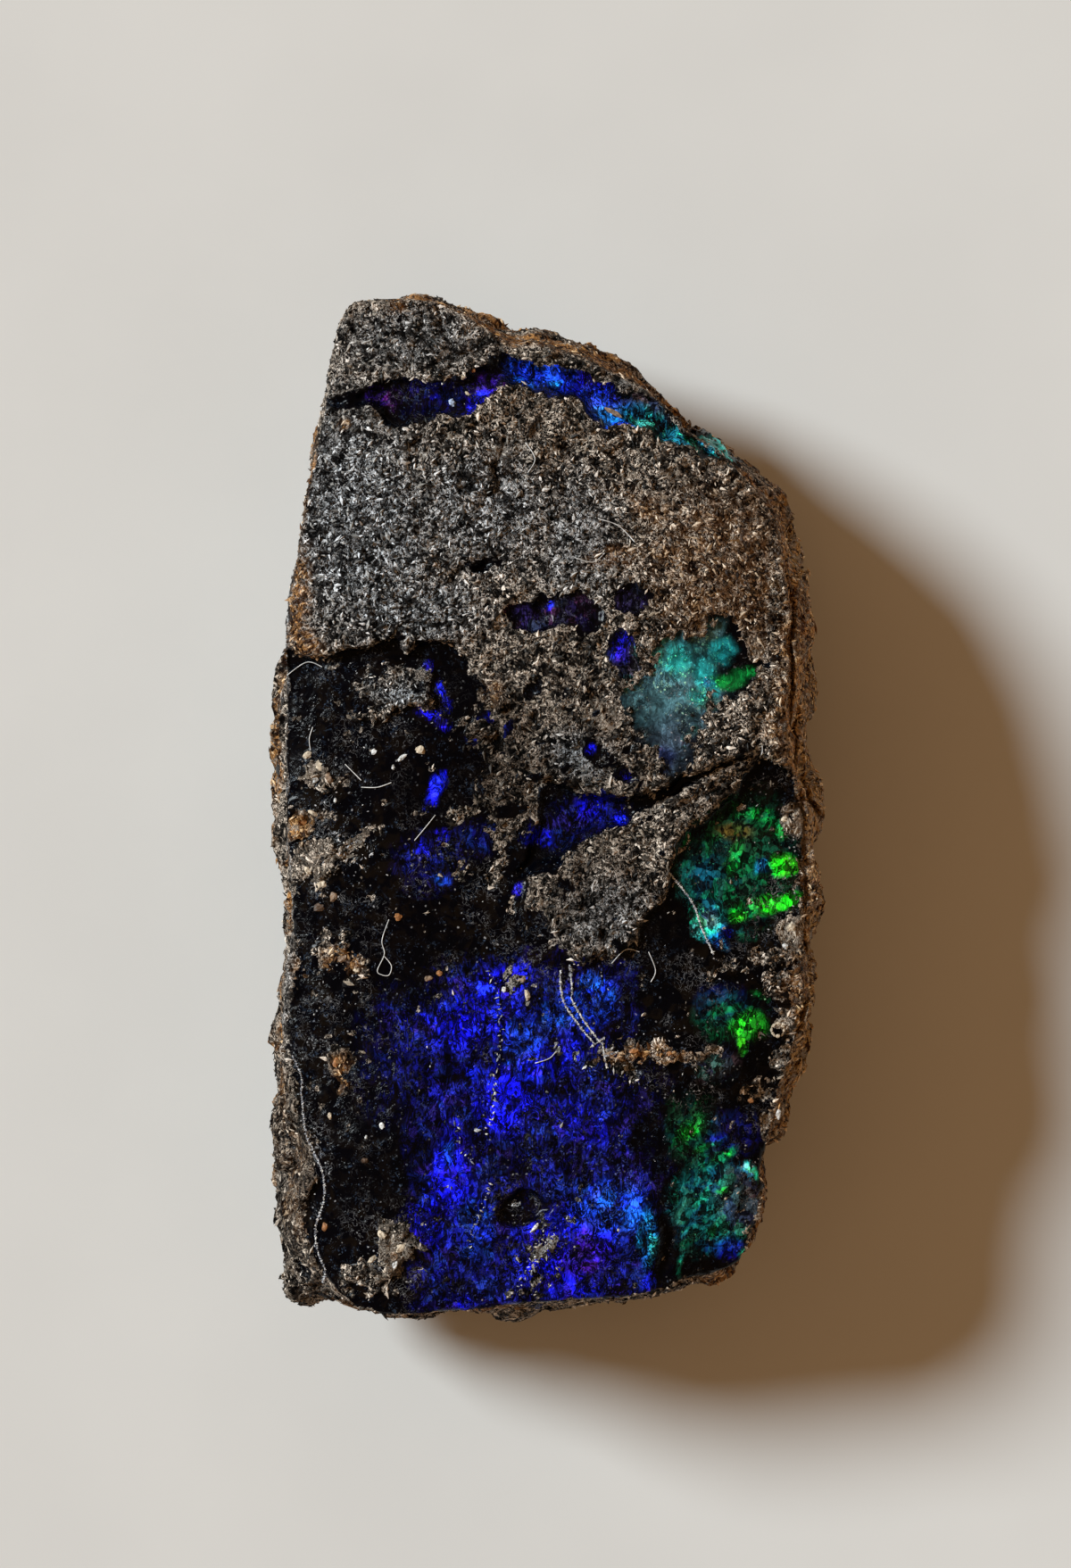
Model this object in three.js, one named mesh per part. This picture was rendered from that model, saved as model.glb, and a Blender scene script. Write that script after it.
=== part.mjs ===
// A piece of rough boulder opal: one split slab of ironstone, with opal showing on its upper face.
// Millimetres, +Z up. The stone lies on its flat split underside at z = 0, with its long axis along Y,
// its pointed end towards +Y, and the origin below the middle of its box.
import * as THREE from "three";
import { mergeVertices } from "three/addons/utils/BufferGeometryUtils.js";
import { ImprovedNoise } from "three/addons/math/ImprovedNoise.js";

// Driving dimensions.
const LENGTH = 45; // along Y
const WIDTH = 24.4; // along X
const FACE_HEIGHT = 12.6; // the upper face at its middle

// Mesh divisions across, along and up the slab.
const ACROSS = 24;
const ALONG = 44;
const UP = 9;

// The slab's outline seen from above, clockwise from the pointed end. Each point is x, y and lean:
// how far the rim of the upper face stands inside the outline there.
const OUTLINE = [
  [-8.8, 22.3, 0.3], [-7.4, 22.1, 0.4], [-6.4, 22.5, 0.4], [-5.3, 22.35, 0.4], [-3.3, 21.25, 0.4],
  [-1.65, 20.25, 0.4], [-0.9, 20.55, 0.4], [1.75, 19.6, 0.4], [4.65, 18.0, 0.4], [6.1, 16.5, 0.4],
  [7.0, 16.15, 0.4], [8.55, 14.85, 0.5], [9.95, 13.4, 0.6], [10.65, 11.95, 0.9], [10.95, 10.6, 1.1],
  [11.3, 9.4, 1.2], [11.3, 7.3, 1.1], [11.0, 5.5, 0.9], [10.95, 3.0, 0.8], [11.4, 1.4, 1.0],
  [12.1, 0.2, 1.2], [12.2, -1.45, 1.2], [11.9, -3.0, 1.1], [12.0, -4.4, 1.0], [11.8, -6.9, 1.0],
  [11.7, -8.6, 0.9], [11.2, -9.8, 0.7], [10.95, -11.35, 0.6], [10.3, -12.6, 0.5], [10.0, -14.25, 0.5],
  [9.4, -15.8, 0.5], [9.55, -17.1, 0.5], [9.3, -18.5, 0.5], [8.4, -20.2, 0.5], [6.8, -20.65, 0.4],
  [4.65, -21.25, 0.4], [2.9, -21.6, 0.4], [-2.15, -21.9, 0.4], [-4.5, -22.15, 0.4], [-7.2, -22.5, 0.5],
  [-8.9, -22.35, 0.7], [-10.3, -21.65, 1.1], [-11.5, -21.0, 1.8], [-11.9, -19.5, 2.1], [-11.8, -17.9, 1.9],
  [-11.6, -16.4, 1.9], [-11.9, -14.4, 1.4], [-11.9, -10.6, 0.6], [-11.65, -8.2, 0.4], [-11.75, -5.5, 0.4],
  [-12.0, -2.8, 0.4], [-12.2, 0.3, 0.4], [-12.1, 3.4, 0.4], [-12.2, 6.5, 0.5], [-12.0, 8.5, 0.4],
  [-11.5, 10.4, 0.2], [-11.05, 13.1, 0.2], [-10.5, 15.5, 0.2], [-10.1, 17.5, 0.2], [-9.9, 19.3, 0.2],
  [-9.5, 21.2, 0.2],
];

// The slab's sides.
const UNDERCUT = 1.9; // how far the resting face stands inside the outline
const UNDERSIDE_RISE = 1.3; // how high the underside's edge curls up
const REST_SHARE = 0.8; // the middle share of the underside that is flat
const WIDEST_AT = 0.45; // share of the height where a side is widest, on average
const WIDEST_SWING = 0.3; // how far that share wanders round the stone
const SIDE_LUMPS = [{ size: 7.5, depth: 1.1 }, { size: 3.2, depth: 0.55 }, { size: 1.9, depth: 0.22 }];
const FACE_LUMPS = [{ size: 7, depth: 0.35 }, { size: 2.6, depth: 0.14 }];

const random = new ImprovedNoise();

/** A smooth random offset in millimetres, the sum of lumps of several sizes. */
function lumps(list, x, y, z) {
  const lump = ({ size, depth }) => depth * random.noise(x / size + 9.1, y / size + 3.7, z / size);
  return list.reduce((sum, one) => sum + lump(one), 0);
}

/** 0 on the a side, 1 on the b side, and a smooth change between them. Either may be the larger. */
function rise(a, b, value) {
  const share = THREE.MathUtils.clamp((value - a) / (b - a), 0, 1);
  return share * share * (3 - 2 * share);
}

/** 1 in the middle of a round hill at (x0, y0), falling smoothly to 0 at its radii. */
function hill(x, y, x0, y0, radiusX, radiusY) {
  return 1 - rise(0.45, 1, Math.hypot((x - x0) / radiusX, (y - y0) / radiusY));
}

/** The height of the upper face at (x, y). */
function faceHeight(x, y) {
  const plateEdge = THREE.MathUtils.lerp(7.2, 1.2, rise(-3, 3, x)); // the thick plate ends lower on the right
  const plate = 0.7 * rise(plateEdge - 1.8, plateEdge + 1.2, y);
  const island = 0.6 * hill(x, y, 1.6, -4.2, 4.2, 2.9);
  const greenHollow = -0.7 * hill(x, y, 8.6, -2.4, 3.6, 4.8);
  const tealHollow = -0.3 * hill(x, y, 6.2, 5.6, 3.2, 3.0);
  const lowerCorner = -0.9 * rise(4.2, 7.0, x) * rise(-9, -13.5, y);
  const fallRight = -1.4 * rise(5, 13, x);
  const fallLeft = -0.7 * rise(-6, -12.5, x);
  const fallBottom = -0.8 * rise(-15, -23, y);
  const wedge = -5.4 * rise(5, 25, 0.55 * x + 0.83 * y); // the slab thins towards its pointed, curved end
  const steps = plate + island + greenHollow + tealHollow + lowerCorner;
  const falls = fallRight + fallLeft + fallBottom + wedge;
  return FACE_HEIGHT + steps + falls + lumps(FACE_LUMPS, x, y, 0);
}

/** Where a ray from the middle at the given angle crosses the outline: its radius and the rim's lean. */
function outlineAt(angle) {
  const dirX = Math.cos(angle);
  const dirY = Math.sin(angle);
  for (let i = 0; i < OUTLINE.length; i++) {
    const [ax, ay, aLean] = OUTLINE[i];
    const [bx, by, bLean] = OUTLINE[(i + 1) % OUTLINE.length];
    const sideA = dirX * ay - dirY * ax;
    const sideB = dirX * by - dirY * bx;
    if (sideA < 0 || sideB >= 0) continue;
    const share = sideA / (sideA - sideB);
    const x = THREE.MathUtils.lerp(ax, bx, share);
    const y = THREE.MathUtils.lerp(ay, by, share);
    const lean = THREE.MathUtils.lerp(aLean, bLean, share);
    if (x * dirX + y * dirY > 0) return { radius: Math.hypot(x, y), lean };
  }
  throw new Error("the outline doesn't go round the origin");
}

/** The stone's surface point for a point (u, v, w) on the surface of a cube from -1 to 1. */
function stonePoint(u, v, w) {
  const share = Math.max(Math.abs(u), Math.abs(v)); // 0 in the middle of a face, 1 on the sides
  const angle = Math.atan2(v * LENGTH, u * WIDTH);
  const { radius, lean } = share > 0 ? outlineAt(angle) : { radius: 0, lean: 0 };
  const up = (w + 1) / 2;
  const widest = WIDEST_AT + WIDEST_SWING * random.noise(2.2 * Math.cos(angle), 2.2 * Math.sin(angle), 0.5);
  const inset = lean * rise(widest, 1, up) + UNDERCUT * (1 - rise(0, widest, up));
  const flatX = share * radius * Math.cos(angle);
  const flatY = share * radius * Math.sin(angle);
  const onSide = share > 0.999 ? Math.sin(Math.PI * up) : 0;
  const reach = share * (radius - inset) + onSide * lumps(SIDE_LUMPS, flatX, flatY, 13 * up);
  const x = reach * Math.cos(angle);
  const y = reach * Math.sin(angle);
  const underside = UNDERSIDE_RISE * rise(REST_SHARE, 1.05, share);
  const top = faceHeight(x, y) - 0.35 * rise(0.86, 1, share);
  return new THREE.Vector3(x, y, THREE.MathUtils.lerp(underside, top, up));
}

/** The whole stone as one closed surface, moved so that its box stands centred on the origin. */
function stoneGeometry() {
  const cube = new THREE.BoxGeometry(2, 2, 2, ACROSS, ALONG, UP);
  cube.deleteAttribute("normal");
  cube.deleteAttribute("uv");
  const geometry = mergeVertices(cube, 1e-5);
  const place = geometry.getAttribute("position");
  for (let i = 0; i < place.count; i++) {
    const point = stonePoint(place.getX(i), place.getY(i), place.getZ(i));
    place.setXYZ(i, point.x, point.y, point.z);
  }
  geometry.computeBoundingBox();
  const middle = geometry.boundingBox.getCenter(new THREE.Vector3());
  const size = geometry.boundingBox.getSize(new THREE.Vector3());
  geometry.translate(-middle.x, -middle.y, -geometry.boundingBox.min.z);
  geometry.scale(WIDTH / size.x, LENGTH / size.y, 1);
  geometry.computeVertexNormals();
  return geometry;
}

const ironstone = new THREE.MeshStandardMaterial({ color: "#3a332d", roughness: 0.85, metalness: 0 });

const stone = new THREE.Mesh(stoneGeometry(), ironstone);
stone.name = "opal_stone";

const part = new THREE.Group();
part.add(stone);
export default part;
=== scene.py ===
"""The looks of one piece of rough boulder opal.

The stone lies on its flat underside with its opal face up and its pointed end towards +Y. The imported
model gives its shape and size. This script makes the fine surface on a copy of it: the granular
ironstone, the glossy black potch, the play of colour, the sand grains, the pale veins and the lint.
Places on the face are in millimetres from the middle of the stone, +X right and +Y to the point.
"""

import logging
import math
from dataclasses import dataclass, field
from enum import Enum

import bmesh
import bpy
import numpy as np
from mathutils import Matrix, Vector
from mathutils.bvhtree import BVHTree

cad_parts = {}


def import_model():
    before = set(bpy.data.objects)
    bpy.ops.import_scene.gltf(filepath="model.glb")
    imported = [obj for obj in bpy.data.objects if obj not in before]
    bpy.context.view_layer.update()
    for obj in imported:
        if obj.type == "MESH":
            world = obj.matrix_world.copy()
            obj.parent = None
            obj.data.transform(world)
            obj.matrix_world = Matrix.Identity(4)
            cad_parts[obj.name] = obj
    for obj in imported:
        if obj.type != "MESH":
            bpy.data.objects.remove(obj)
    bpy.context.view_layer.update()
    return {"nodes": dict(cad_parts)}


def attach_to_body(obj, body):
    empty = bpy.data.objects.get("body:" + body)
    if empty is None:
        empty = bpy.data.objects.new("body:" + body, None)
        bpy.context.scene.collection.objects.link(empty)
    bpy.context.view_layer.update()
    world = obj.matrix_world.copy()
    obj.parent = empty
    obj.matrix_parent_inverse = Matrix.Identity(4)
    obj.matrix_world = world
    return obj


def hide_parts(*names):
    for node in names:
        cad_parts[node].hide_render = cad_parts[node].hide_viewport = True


LOG = logging.getLogger("boulder_opal")

MM = 0.001
NODE = "opal_stone"
BODY = "root"

Points = list[tuple[float, float]]
Triple = tuple[float, float, float]
Rgb = Triple
Stops = list[tuple[float, Rgb]]


# ---------------------------------------------------------------------------------------------
# Small mathematics shared by all pieces
# ---------------------------------------------------------------------------------------------


def rise(low: float, high: float, value: np.ndarray) -> np.ndarray:
    """Changes smoothly from 0 at low to 1 at high.

    Args:
        low: Where the result is 0.
        high: Where the result is 1. It may be below low.
        value: The values to look up.

    Returns:
        The smooth share for each value.
    """
    share = np.clip((value - low) / (high - low), 0.0, 1.0)
    return share * share * (3.0 - 2.0 * share)


class RockNoise:
    """Smooth gradient noise in space, the same on every run."""

    def __init__(self, seed: int) -> None:
        """Draws the lattice's random slopes.

        Args:
            seed: The fixed seed of this noise.
        """
        draw = np.random.default_rng(seed)
        order = draw.permutation(256)
        self.order = np.concatenate([order, order])
        slopes = draw.normal(size=(256, 3))
        self.slopes = slopes / np.linalg.norm(slopes, axis=1)[:, None]

    def at(self, points: np.ndarray, size: float) -> np.ndarray:
        """Reads the noise.

        Args:
            points: An n by 3 array in millimetres.
            size: The size of one lump in millimetres.

        Returns:
            One value a point, between about -1 and 1.
        """
        place = points / size
        cell = np.floor(place).astype(np.int64)
        part = place - cell
        fade = part * part * part * (part * (part * 6.0 - 15.0) + 10.0)
        cell &= 255
        total = np.zeros(len(points))
        for corner in range(8):
            step = np.array([corner & 1, (corner >> 1) & 1, corner >> 2])
            x, y, z = ((cell + step) & 255).T
            slope = self.slopes[self.order[self.order[self.order[x] + y] + z]]
            weight = np.prod(np.where(step == 1, fade, 1.0 - fade), axis=1)
            total += weight * np.einsum("ij,ij->i", slope, part - step)
        return 1.6 * total

    def layers(self, points: np.ndarray, size: float, count: int, keep: float = 0.5) -> np.ndarray:
        """Sums noise at several sizes, each half the last.

        Args:
            points: An n by 3 array in millimetres.
            size: The size of the largest lumps.
            count: How many sizes.
            keep: How much weaker each finer size is.

        Returns:
            One value a point.
        """
        total = np.zeros(len(points))
        for layer in range(count):
            total += keep**layer * self.at(points + 17.3 * layer, size * 0.5**layer)
        return total

    def folds(self, points: np.ndarray, size: float) -> np.ndarray:
        """Noise with sharp crests, 1 on a crest and falling to 0 between them."""
        return 1.0 - np.minimum(np.abs(self.at(points, size)) * 2.2, 1.0)

    def facets(self, points: np.ndarray, size: float) -> np.ndarray:
        """Noise like broken rock: flat faces at random slopes that meet in sharp steps.

        Args:
            points: An n by 3 array in millimetres.
            size: The size of one face in millimetres.

        Returns:
            One value a point, about -0.5 to 0.5.
        """
        place = points / size
        cell = np.floor(place).astype(np.int64)
        best = np.full(len(points), np.inf)
        value = np.zeros(len(points))
        for index in range(27):
            step = np.array([index % 3 - 1, index // 3 % 3 - 1, index // 9 - 1])
            near = cell + step
            x, y, z = (near & 255).T
            pick = self.order[self.order[self.order[x] + y] + z]
            middle = near + 0.5 + 0.45 * self.slopes[pick]
            away = place - middle
            square = np.einsum("ij,ij->i", away, away)
            slope = np.einsum("ij,ij->i", away, self.slopes[(pick * 7 + 3) & 255])
            value = np.where(square < best, slope, value)
            best = np.minimum(best, square)
        return value


def distance_to(line: Points, x: np.ndarray, y: np.ndarray, closed: bool = False) -> np.ndarray:
    """The distance from each point to a line of straight stretches.

    Args:
        line: The line's corners.
        x: The points' x.
        y: The points' y.
        closed: Whether the line's end joins its start.

    Returns:
        One distance a point.
    """
    best = np.full(len(x), np.inf)
    ends = list(zip(line, line[1:] + line[:1])) if closed else list(zip(line, line[1:]))
    for (ax, ay), (bx, by) in ends:
        along_x, along_y = bx - ax, by - ay
        square = along_x**2 + along_y**2
        share = np.clip(((x - ax) * along_x + (y - ay) * along_y) / square, 0.0, 1.0)
        best = np.minimum(best, np.hypot(x - ax - share * along_x, y - ay - share * along_y))
    return best


@dataclass(frozen=True)
class Region:
    """An area of the face inside a closed outline."""

    outline: Points

    def depth(self, x: np.ndarray, y: np.ndarray) -> np.ndarray:
        """How far inside the outline each point is, negative outside."""
        inside = np.zeros(len(x), dtype=bool)
        for (ax, ay), (bx, by) in zip(self.outline, self.outline[1:] + self.outline[:1]):
            if ay == by:
                continue
            crosses = (ay > y) != (by > y)
            inside ^= crosses & (x < ax + (y - ay) * (bx - ax) / (by - ay))
        away = distance_to(self.outline, x, y, closed=True)
        return np.where(inside, away, -away)


@dataclass(frozen=True)
class Oval:
    """An oval area of the face."""

    x: float
    y: float
    rx: float
    ry: float
    turn: float = 0.0

    def depth(self, x: np.ndarray, y: np.ndarray) -> np.ndarray:
        """About how far inside the oval each point is, negative outside."""
        angle = math.radians(self.turn)
        along = (x - self.x) * math.cos(angle) + (y - self.y) * math.sin(angle)
        across = (y - self.y) * math.cos(angle) - (x - self.x) * math.sin(angle)
        return (1.0 - np.hypot(along / self.rx, across / self.ry)) * min(self.rx, self.ry)


# ---------------------------------------------------------------------------------------------
# What lies where on the face
# ---------------------------------------------------------------------------------------------


class Fire(Enum):
    """The colours that the opal shows, in linear light."""

    INK = (0.004, 0.005, 0.012)
    NAVY = (0.005, 0.009, 0.13)
    DUSK = (0.014, 0.011, 0.040)
    DEEP = (0.008, 0.012, 0.22)
    VIOLET = (0.045, 0.012, 0.30)
    PLUM = (0.075, 0.014, 0.09)
    ULTRAMARINE = (0.007, 0.010, 0.85)
    ELECTRIC = (0.010, 0.012, 1.0)
    ROYAL = (0.010, 0.07, 0.80)
    AZURE = (0.012, 0.28, 1.0)
    CYAN = (0.05, 0.95, 1.0)
    ICE = (0.35, 0.80, 0.90)
    TEAL = (0.012, 0.29, 0.32)
    TURQUOISE = (0.03, 0.62, 0.58)
    FOREST = (0.006, 0.11, 0.06)
    GREEN = (0.010, 0.55, 0.10)
    LIME = (0.03, 1.0, 0.03)
    OLIVE = (0.05, 0.07, 0.01)
    MIST = (0.12, 0.31, 0.37)
    SLATE = (0.065, 0.105, 0.155)


@dataclass(frozen=True)
class Glow:
    """One oval of colour: its place, how strong it is and how softly it ends."""

    fire: Fire
    x: float
    y: float
    rx: float
    ry: float
    turn: float = 0.0
    strength: float = 1.0
    soft: float = 0.6

    def share(self, x: np.ndarray, y: np.ndarray) -> np.ndarray:
        """How much of this colour each point takes."""
        oval = Oval(self.x, self.y, self.rx, self.ry, self.turn)
        edge = self.soft * min(self.rx, self.ry)
        return self.strength * rise(-0.25 * edge, edge, oval.depth(x, y))


# The thick plate of ironstone at the pointed end, down to its broken lower edge.
PLATE = Region([
    (-14.2, 6.4), (-11.4, 6.7), (-9.7, 6.9), (-8.0, 6.9), (-6.8, 7.4), (-6.0, 6.7), (-5.2, 7.3),
    (-4.2, 7.1), (-3.3, 6.3), (-2.1, 4.6), (-1.7, 2.3), (-0.6, 1.4), (1.4, 0.9), (3.3, 0.7), (5.0, 1.1),
    (7.2, 1.9), (9.1, 2.4), (11.3, 1.4), (13.4, 1.1), (13.4, 25.5), (-14.2, 25.5),
])
# The dull brown stretch below the plate's middle.
BROWN_SHELF = Region([
    (-3.7, 6.9), (-2.1, 5.7), (0.2, 4.2), (1.0, 1.5), (-0.2, 0.3), (-1.0, -2.0), (-2.1, -3.0), (-3.3, -2.0),
    (-3.7, 0.3), (-3.9, 2.6), (-3.3, 4.2),
])
# The large island of ironstone in the middle.
GREAT_ISLAND = Region([
    (-0.9, -3.0), (-0.6, -2.6), (0.4, -2.2), (1.1, -0.9), (2.5, -0.7), (3.5, -0.3), (4.9, 0.5), (7.2, 1.7),
    (9.1, 2.3), (7.9, 0.5), (5.8, -1.0), (5.2, -2.7), (4.8, -4.0), (3.8, -5.5), (2.8, -6.3), (1.3, -6.6),
    (0.7, -6.0), (-0.2, -4.8), (-1.0, -4.0),
])
# The seam of opal across the pointed end.
SEAM = Region([
    (-10.6, 17.9), (-8.3, 18.0), (-7.2, 18.6), (-4.5, 18.7), (-3.3, 19.4), (-2.4, 19.8), (-1.0, 19.7),
    (1.0, 19.1), (3.3, 18.5), (5.0, 17.6), (6.2, 16.6), (7.6, 16.1), (8.8, 15.2), (8.0, 14.9), (6.2, 15.8),
    (4.9, 16.1), (3.3, 16.7), (1.9, 16.7), (1.0, 17.6), (-1.0, 18.5), (-1.8, 18.7), (-2.7, 17.6),
    (-3.3, 17.0), (-4.5, 17.2), (-5.2, 16.9), (-6.8, 16.6), (-7.4, 17.2), (-8.3, 17.5), (-10.6, 17.4),
])
# The wedge of dark opal between the plate and the great island.
WEDGE = Region([
    (-0.6, 1.1), (1.4, 0.9), (3.3, 0.9), (3.6, -0.4), (2.2, -1.0), (1.4, -1.6), (0.4, -2.2), (-0.6, -3.0),
    (-1.4, -3.0), (-0.6, -0.9), (-0.4, 0.3),
])
# The milky teal patch at the right.
MILKY = Region([
    (4.8, 7.4), (6.1, 7.7), (6.9, 8.4), (8.0, 8.2), (8.7, 7.0), (9.6, 6.5), (9.6, 5.8), (8.5, 5.3),
    (8.2, 4.9), (6.9, 4.4), (6.5, 3.9), (6.5, 2.5), (6.4, 1.7), (5.0, 1.1), (4.4, 2.4), (3.5, 2.6),
    (3.4, 4.6), (4.0, 6.3),
])
# The hollows of green and blue opal at the right, and the lobe at the lower right corner.
GREEN_HOLLOW = Region([
    (5.8, -3.0), (5.8, -1.8), (7.0, -0.7), (8.0, 0.2), (9.1, 0.6), (10.5, 0.1), (10.8, -1.2), (11.0, -3.0),
    (11.1, -4.3), (9.9, -4.9), (9.1, -5.3), (8.5, -6.0), (7.2, -6.3), (6.6, -5.3), (6.3, -4.0),
])
SECOND_HOLLOW = Region([
    (6.5, -7.8), (7.2, -7.3), (8.7, -7.4), (9.8, -8.2), (9.9, -9.2), (9.1, -10.2), (8.3, -11.3),
    (8.0, -11.9), (6.8, -11.7), (6.3, -10.2), (6.0, -8.6),
])
LOBE = Region([
    (5.2, -12.7), (6.8, -12.3), (9.1, -12.7), (9.7, -13.7), (9.4, -15.2), (9.6, -16.8), (9.2, -18.5),
    (8.5, -19.7), (7.2, -20.6), (5.8, -21.0), (5.4, -19.1), (5.6, -16.4), (5.0, -14.8),
])
# The large field of blue opal.
BLUE_FIELD = Region([
    (-5.6, -8.2), (-4.5, -6.9), (-2.1, -6.5), (1.0, -6.5), (3.5, -6.9), (3.3, -9.0), (2.5, -10.6),
    (2.9, -11.9), (4.1, -12.9), (4.7, -14.8), (4.9, -16.4), (4.7, -20.6), (4.3, -21.7), (-2.1, -22.1),
    (-4.3, -22.1), (-5.6, -20.6), (-5.9, -18.3), (-5.8, -16.4), (-5.4, -14.8), (-6.2, -13.3), (-4.9, -11.7),
    (-6.4, -10.2), (-6.8, -9.0),
])
# The strip along the lower left that falls away below the rim line with its painted highlight.
LEFT_SLOPE = Region([
    (-14.0, -10.0), (-11.2, -10.4), (-10.7, -11.5), (-10.7, -12.3), (-10.5, -14.0), (-10.2, -14.7),
    (-9.8, -15.6), (-9.7, -16.4), (-9.8, -17.1), (-10.1, -18.1), (-10.0, -19.1), (-9.7, -19.9),
    (-9.7, -20.6), (-10.3, -21.6), (-11.0, -24.0), (-14.0, -24.0),
])

# The inner edge of the ironstone rim at the right: its y from the lower end up, and its x there.
RIGHT_RIM = ([-20, -12, -4, 2, 10, 14], [9.2, 9.9, 10.9, 11.0, 10.6, 9.6])
# Where the seam's opal comes out through the stone's edge.
BARE_EDGE = Oval(7.3, 16.0, 1.75, 0.42, -38)

# Windows of dark opal in the plate: how deep each lies, then its oval.
WINDOWS = [(Oval(*numbers), deep) for deep, *numbers in [
    (0.45, -2.9, 10.7, 0.65, 0.45), (0.22, -1.0, 8.25, 1.0, 0.75, -15), (0.25, 0.85, 8.45, 1.5, 0.8, -8),
    (0.2, 3.5, 9.15, 1.0, 0.65, 20), (0.2, 3.3, 6.7, 0.7, 0.9), (0.12, 2.0, 2.6, 0.5, 0.35),
    (0.12, 3.2, 1.6, 0.5, 0.35), (0.1, 7.4, 7.1, 0.7, 0.5), (0.15, -0.6, 5.2, 0.5, 0.4),
]]
# Small islands of ironstone on the dark potch: how high each stands, then its oval.
ISLANDS = [(Oval(*numbers), high) for high, *numbers in [
    (0.3, -6.5, 5.2, 1.7, 0.8, 4), (0.2, -5.6, 4.9, 0.9, 0.6, -20), (0.15, -7.4, 4.1, 0.8, 0.35),
    (0.3, -3.1, 3.7, 0.8, 0.55), (0.15, -10.3, 1.7, 0.5, 0.6), (0.15, -9.7, 1.2, 0.5, 0.3, 30),
    (0.25, -10.9, -0.5, 0.9, 0.75, -20), (0.2, -10.3, -2.0, 0.8, 1.2, 25), (0.15, -9.4, -1.7, 0.6, 0.5),
    (0.1, -8.2, -1.5, 1.0, 0.3, 20), (0.15, -9.4, -6.1, 0.7, 0.4, 35), (0.15, -8.4, -6.6, 0.7, 0.45, -30),
    (0.12, -9.1, -10.9, 0.35, 0.7, -15), (0.12, -8.8, -12.0, 0.45, 0.4, 20),
    (0.2, -7.8, -20.0, 1.2, 0.7, 35), (0.25, -6.6, -18.9, 0.9, 0.8, 45), (0.15, -11.2, -6.4, 0.6, 1.1),
    (0.12, 0.0, -18.9, 0.25, 0.9, -30), (0.1, -0.5, -20.6, 0.2, 0.8, -25), (0.1, -11.3, -3.6, 0.5, 0.9),
    (0.1, -1.6, 5.0, 0.6, 0.6),
]]
# The ironstone crust at the right edge and among the green opal.
CRUSTS = [Oval(*numbers) for numbers in [
    (10.9, -0.1, 0.8, 0.9), (10.7, -5.5, 0.7, 0.9), (9.3, -6.5, 0.9, 0.4, 15), (7.6, -6.7, 0.7, 0.25, 5),
    (9.9, -7.4, 0.6, 0.7), (10.4, -8.8, 0.5, 0.9), (10.3, -10.6, 0.6, 0.8), (9.4, -12.2, 0.9, 0.3, -10),
    (9.9, -13.9, 0.5, 1.3), (9.3, -17.5, 0.4, 1.0), (9.4, 3.4, 1.5, 1.1), (10.4, 5.5, 1.3, 2.4),
    (7.2, -10.3, 0.3, 0.4), (3.2, -10.5, 1.1, 0.25, 8), (5.4, -10.4, 1.1, 0.3, -8),
    (3.0, -11.1, 0.6, 0.25, -20), (-1.6, -7.3, 0.3, 0.35),
]]

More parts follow.
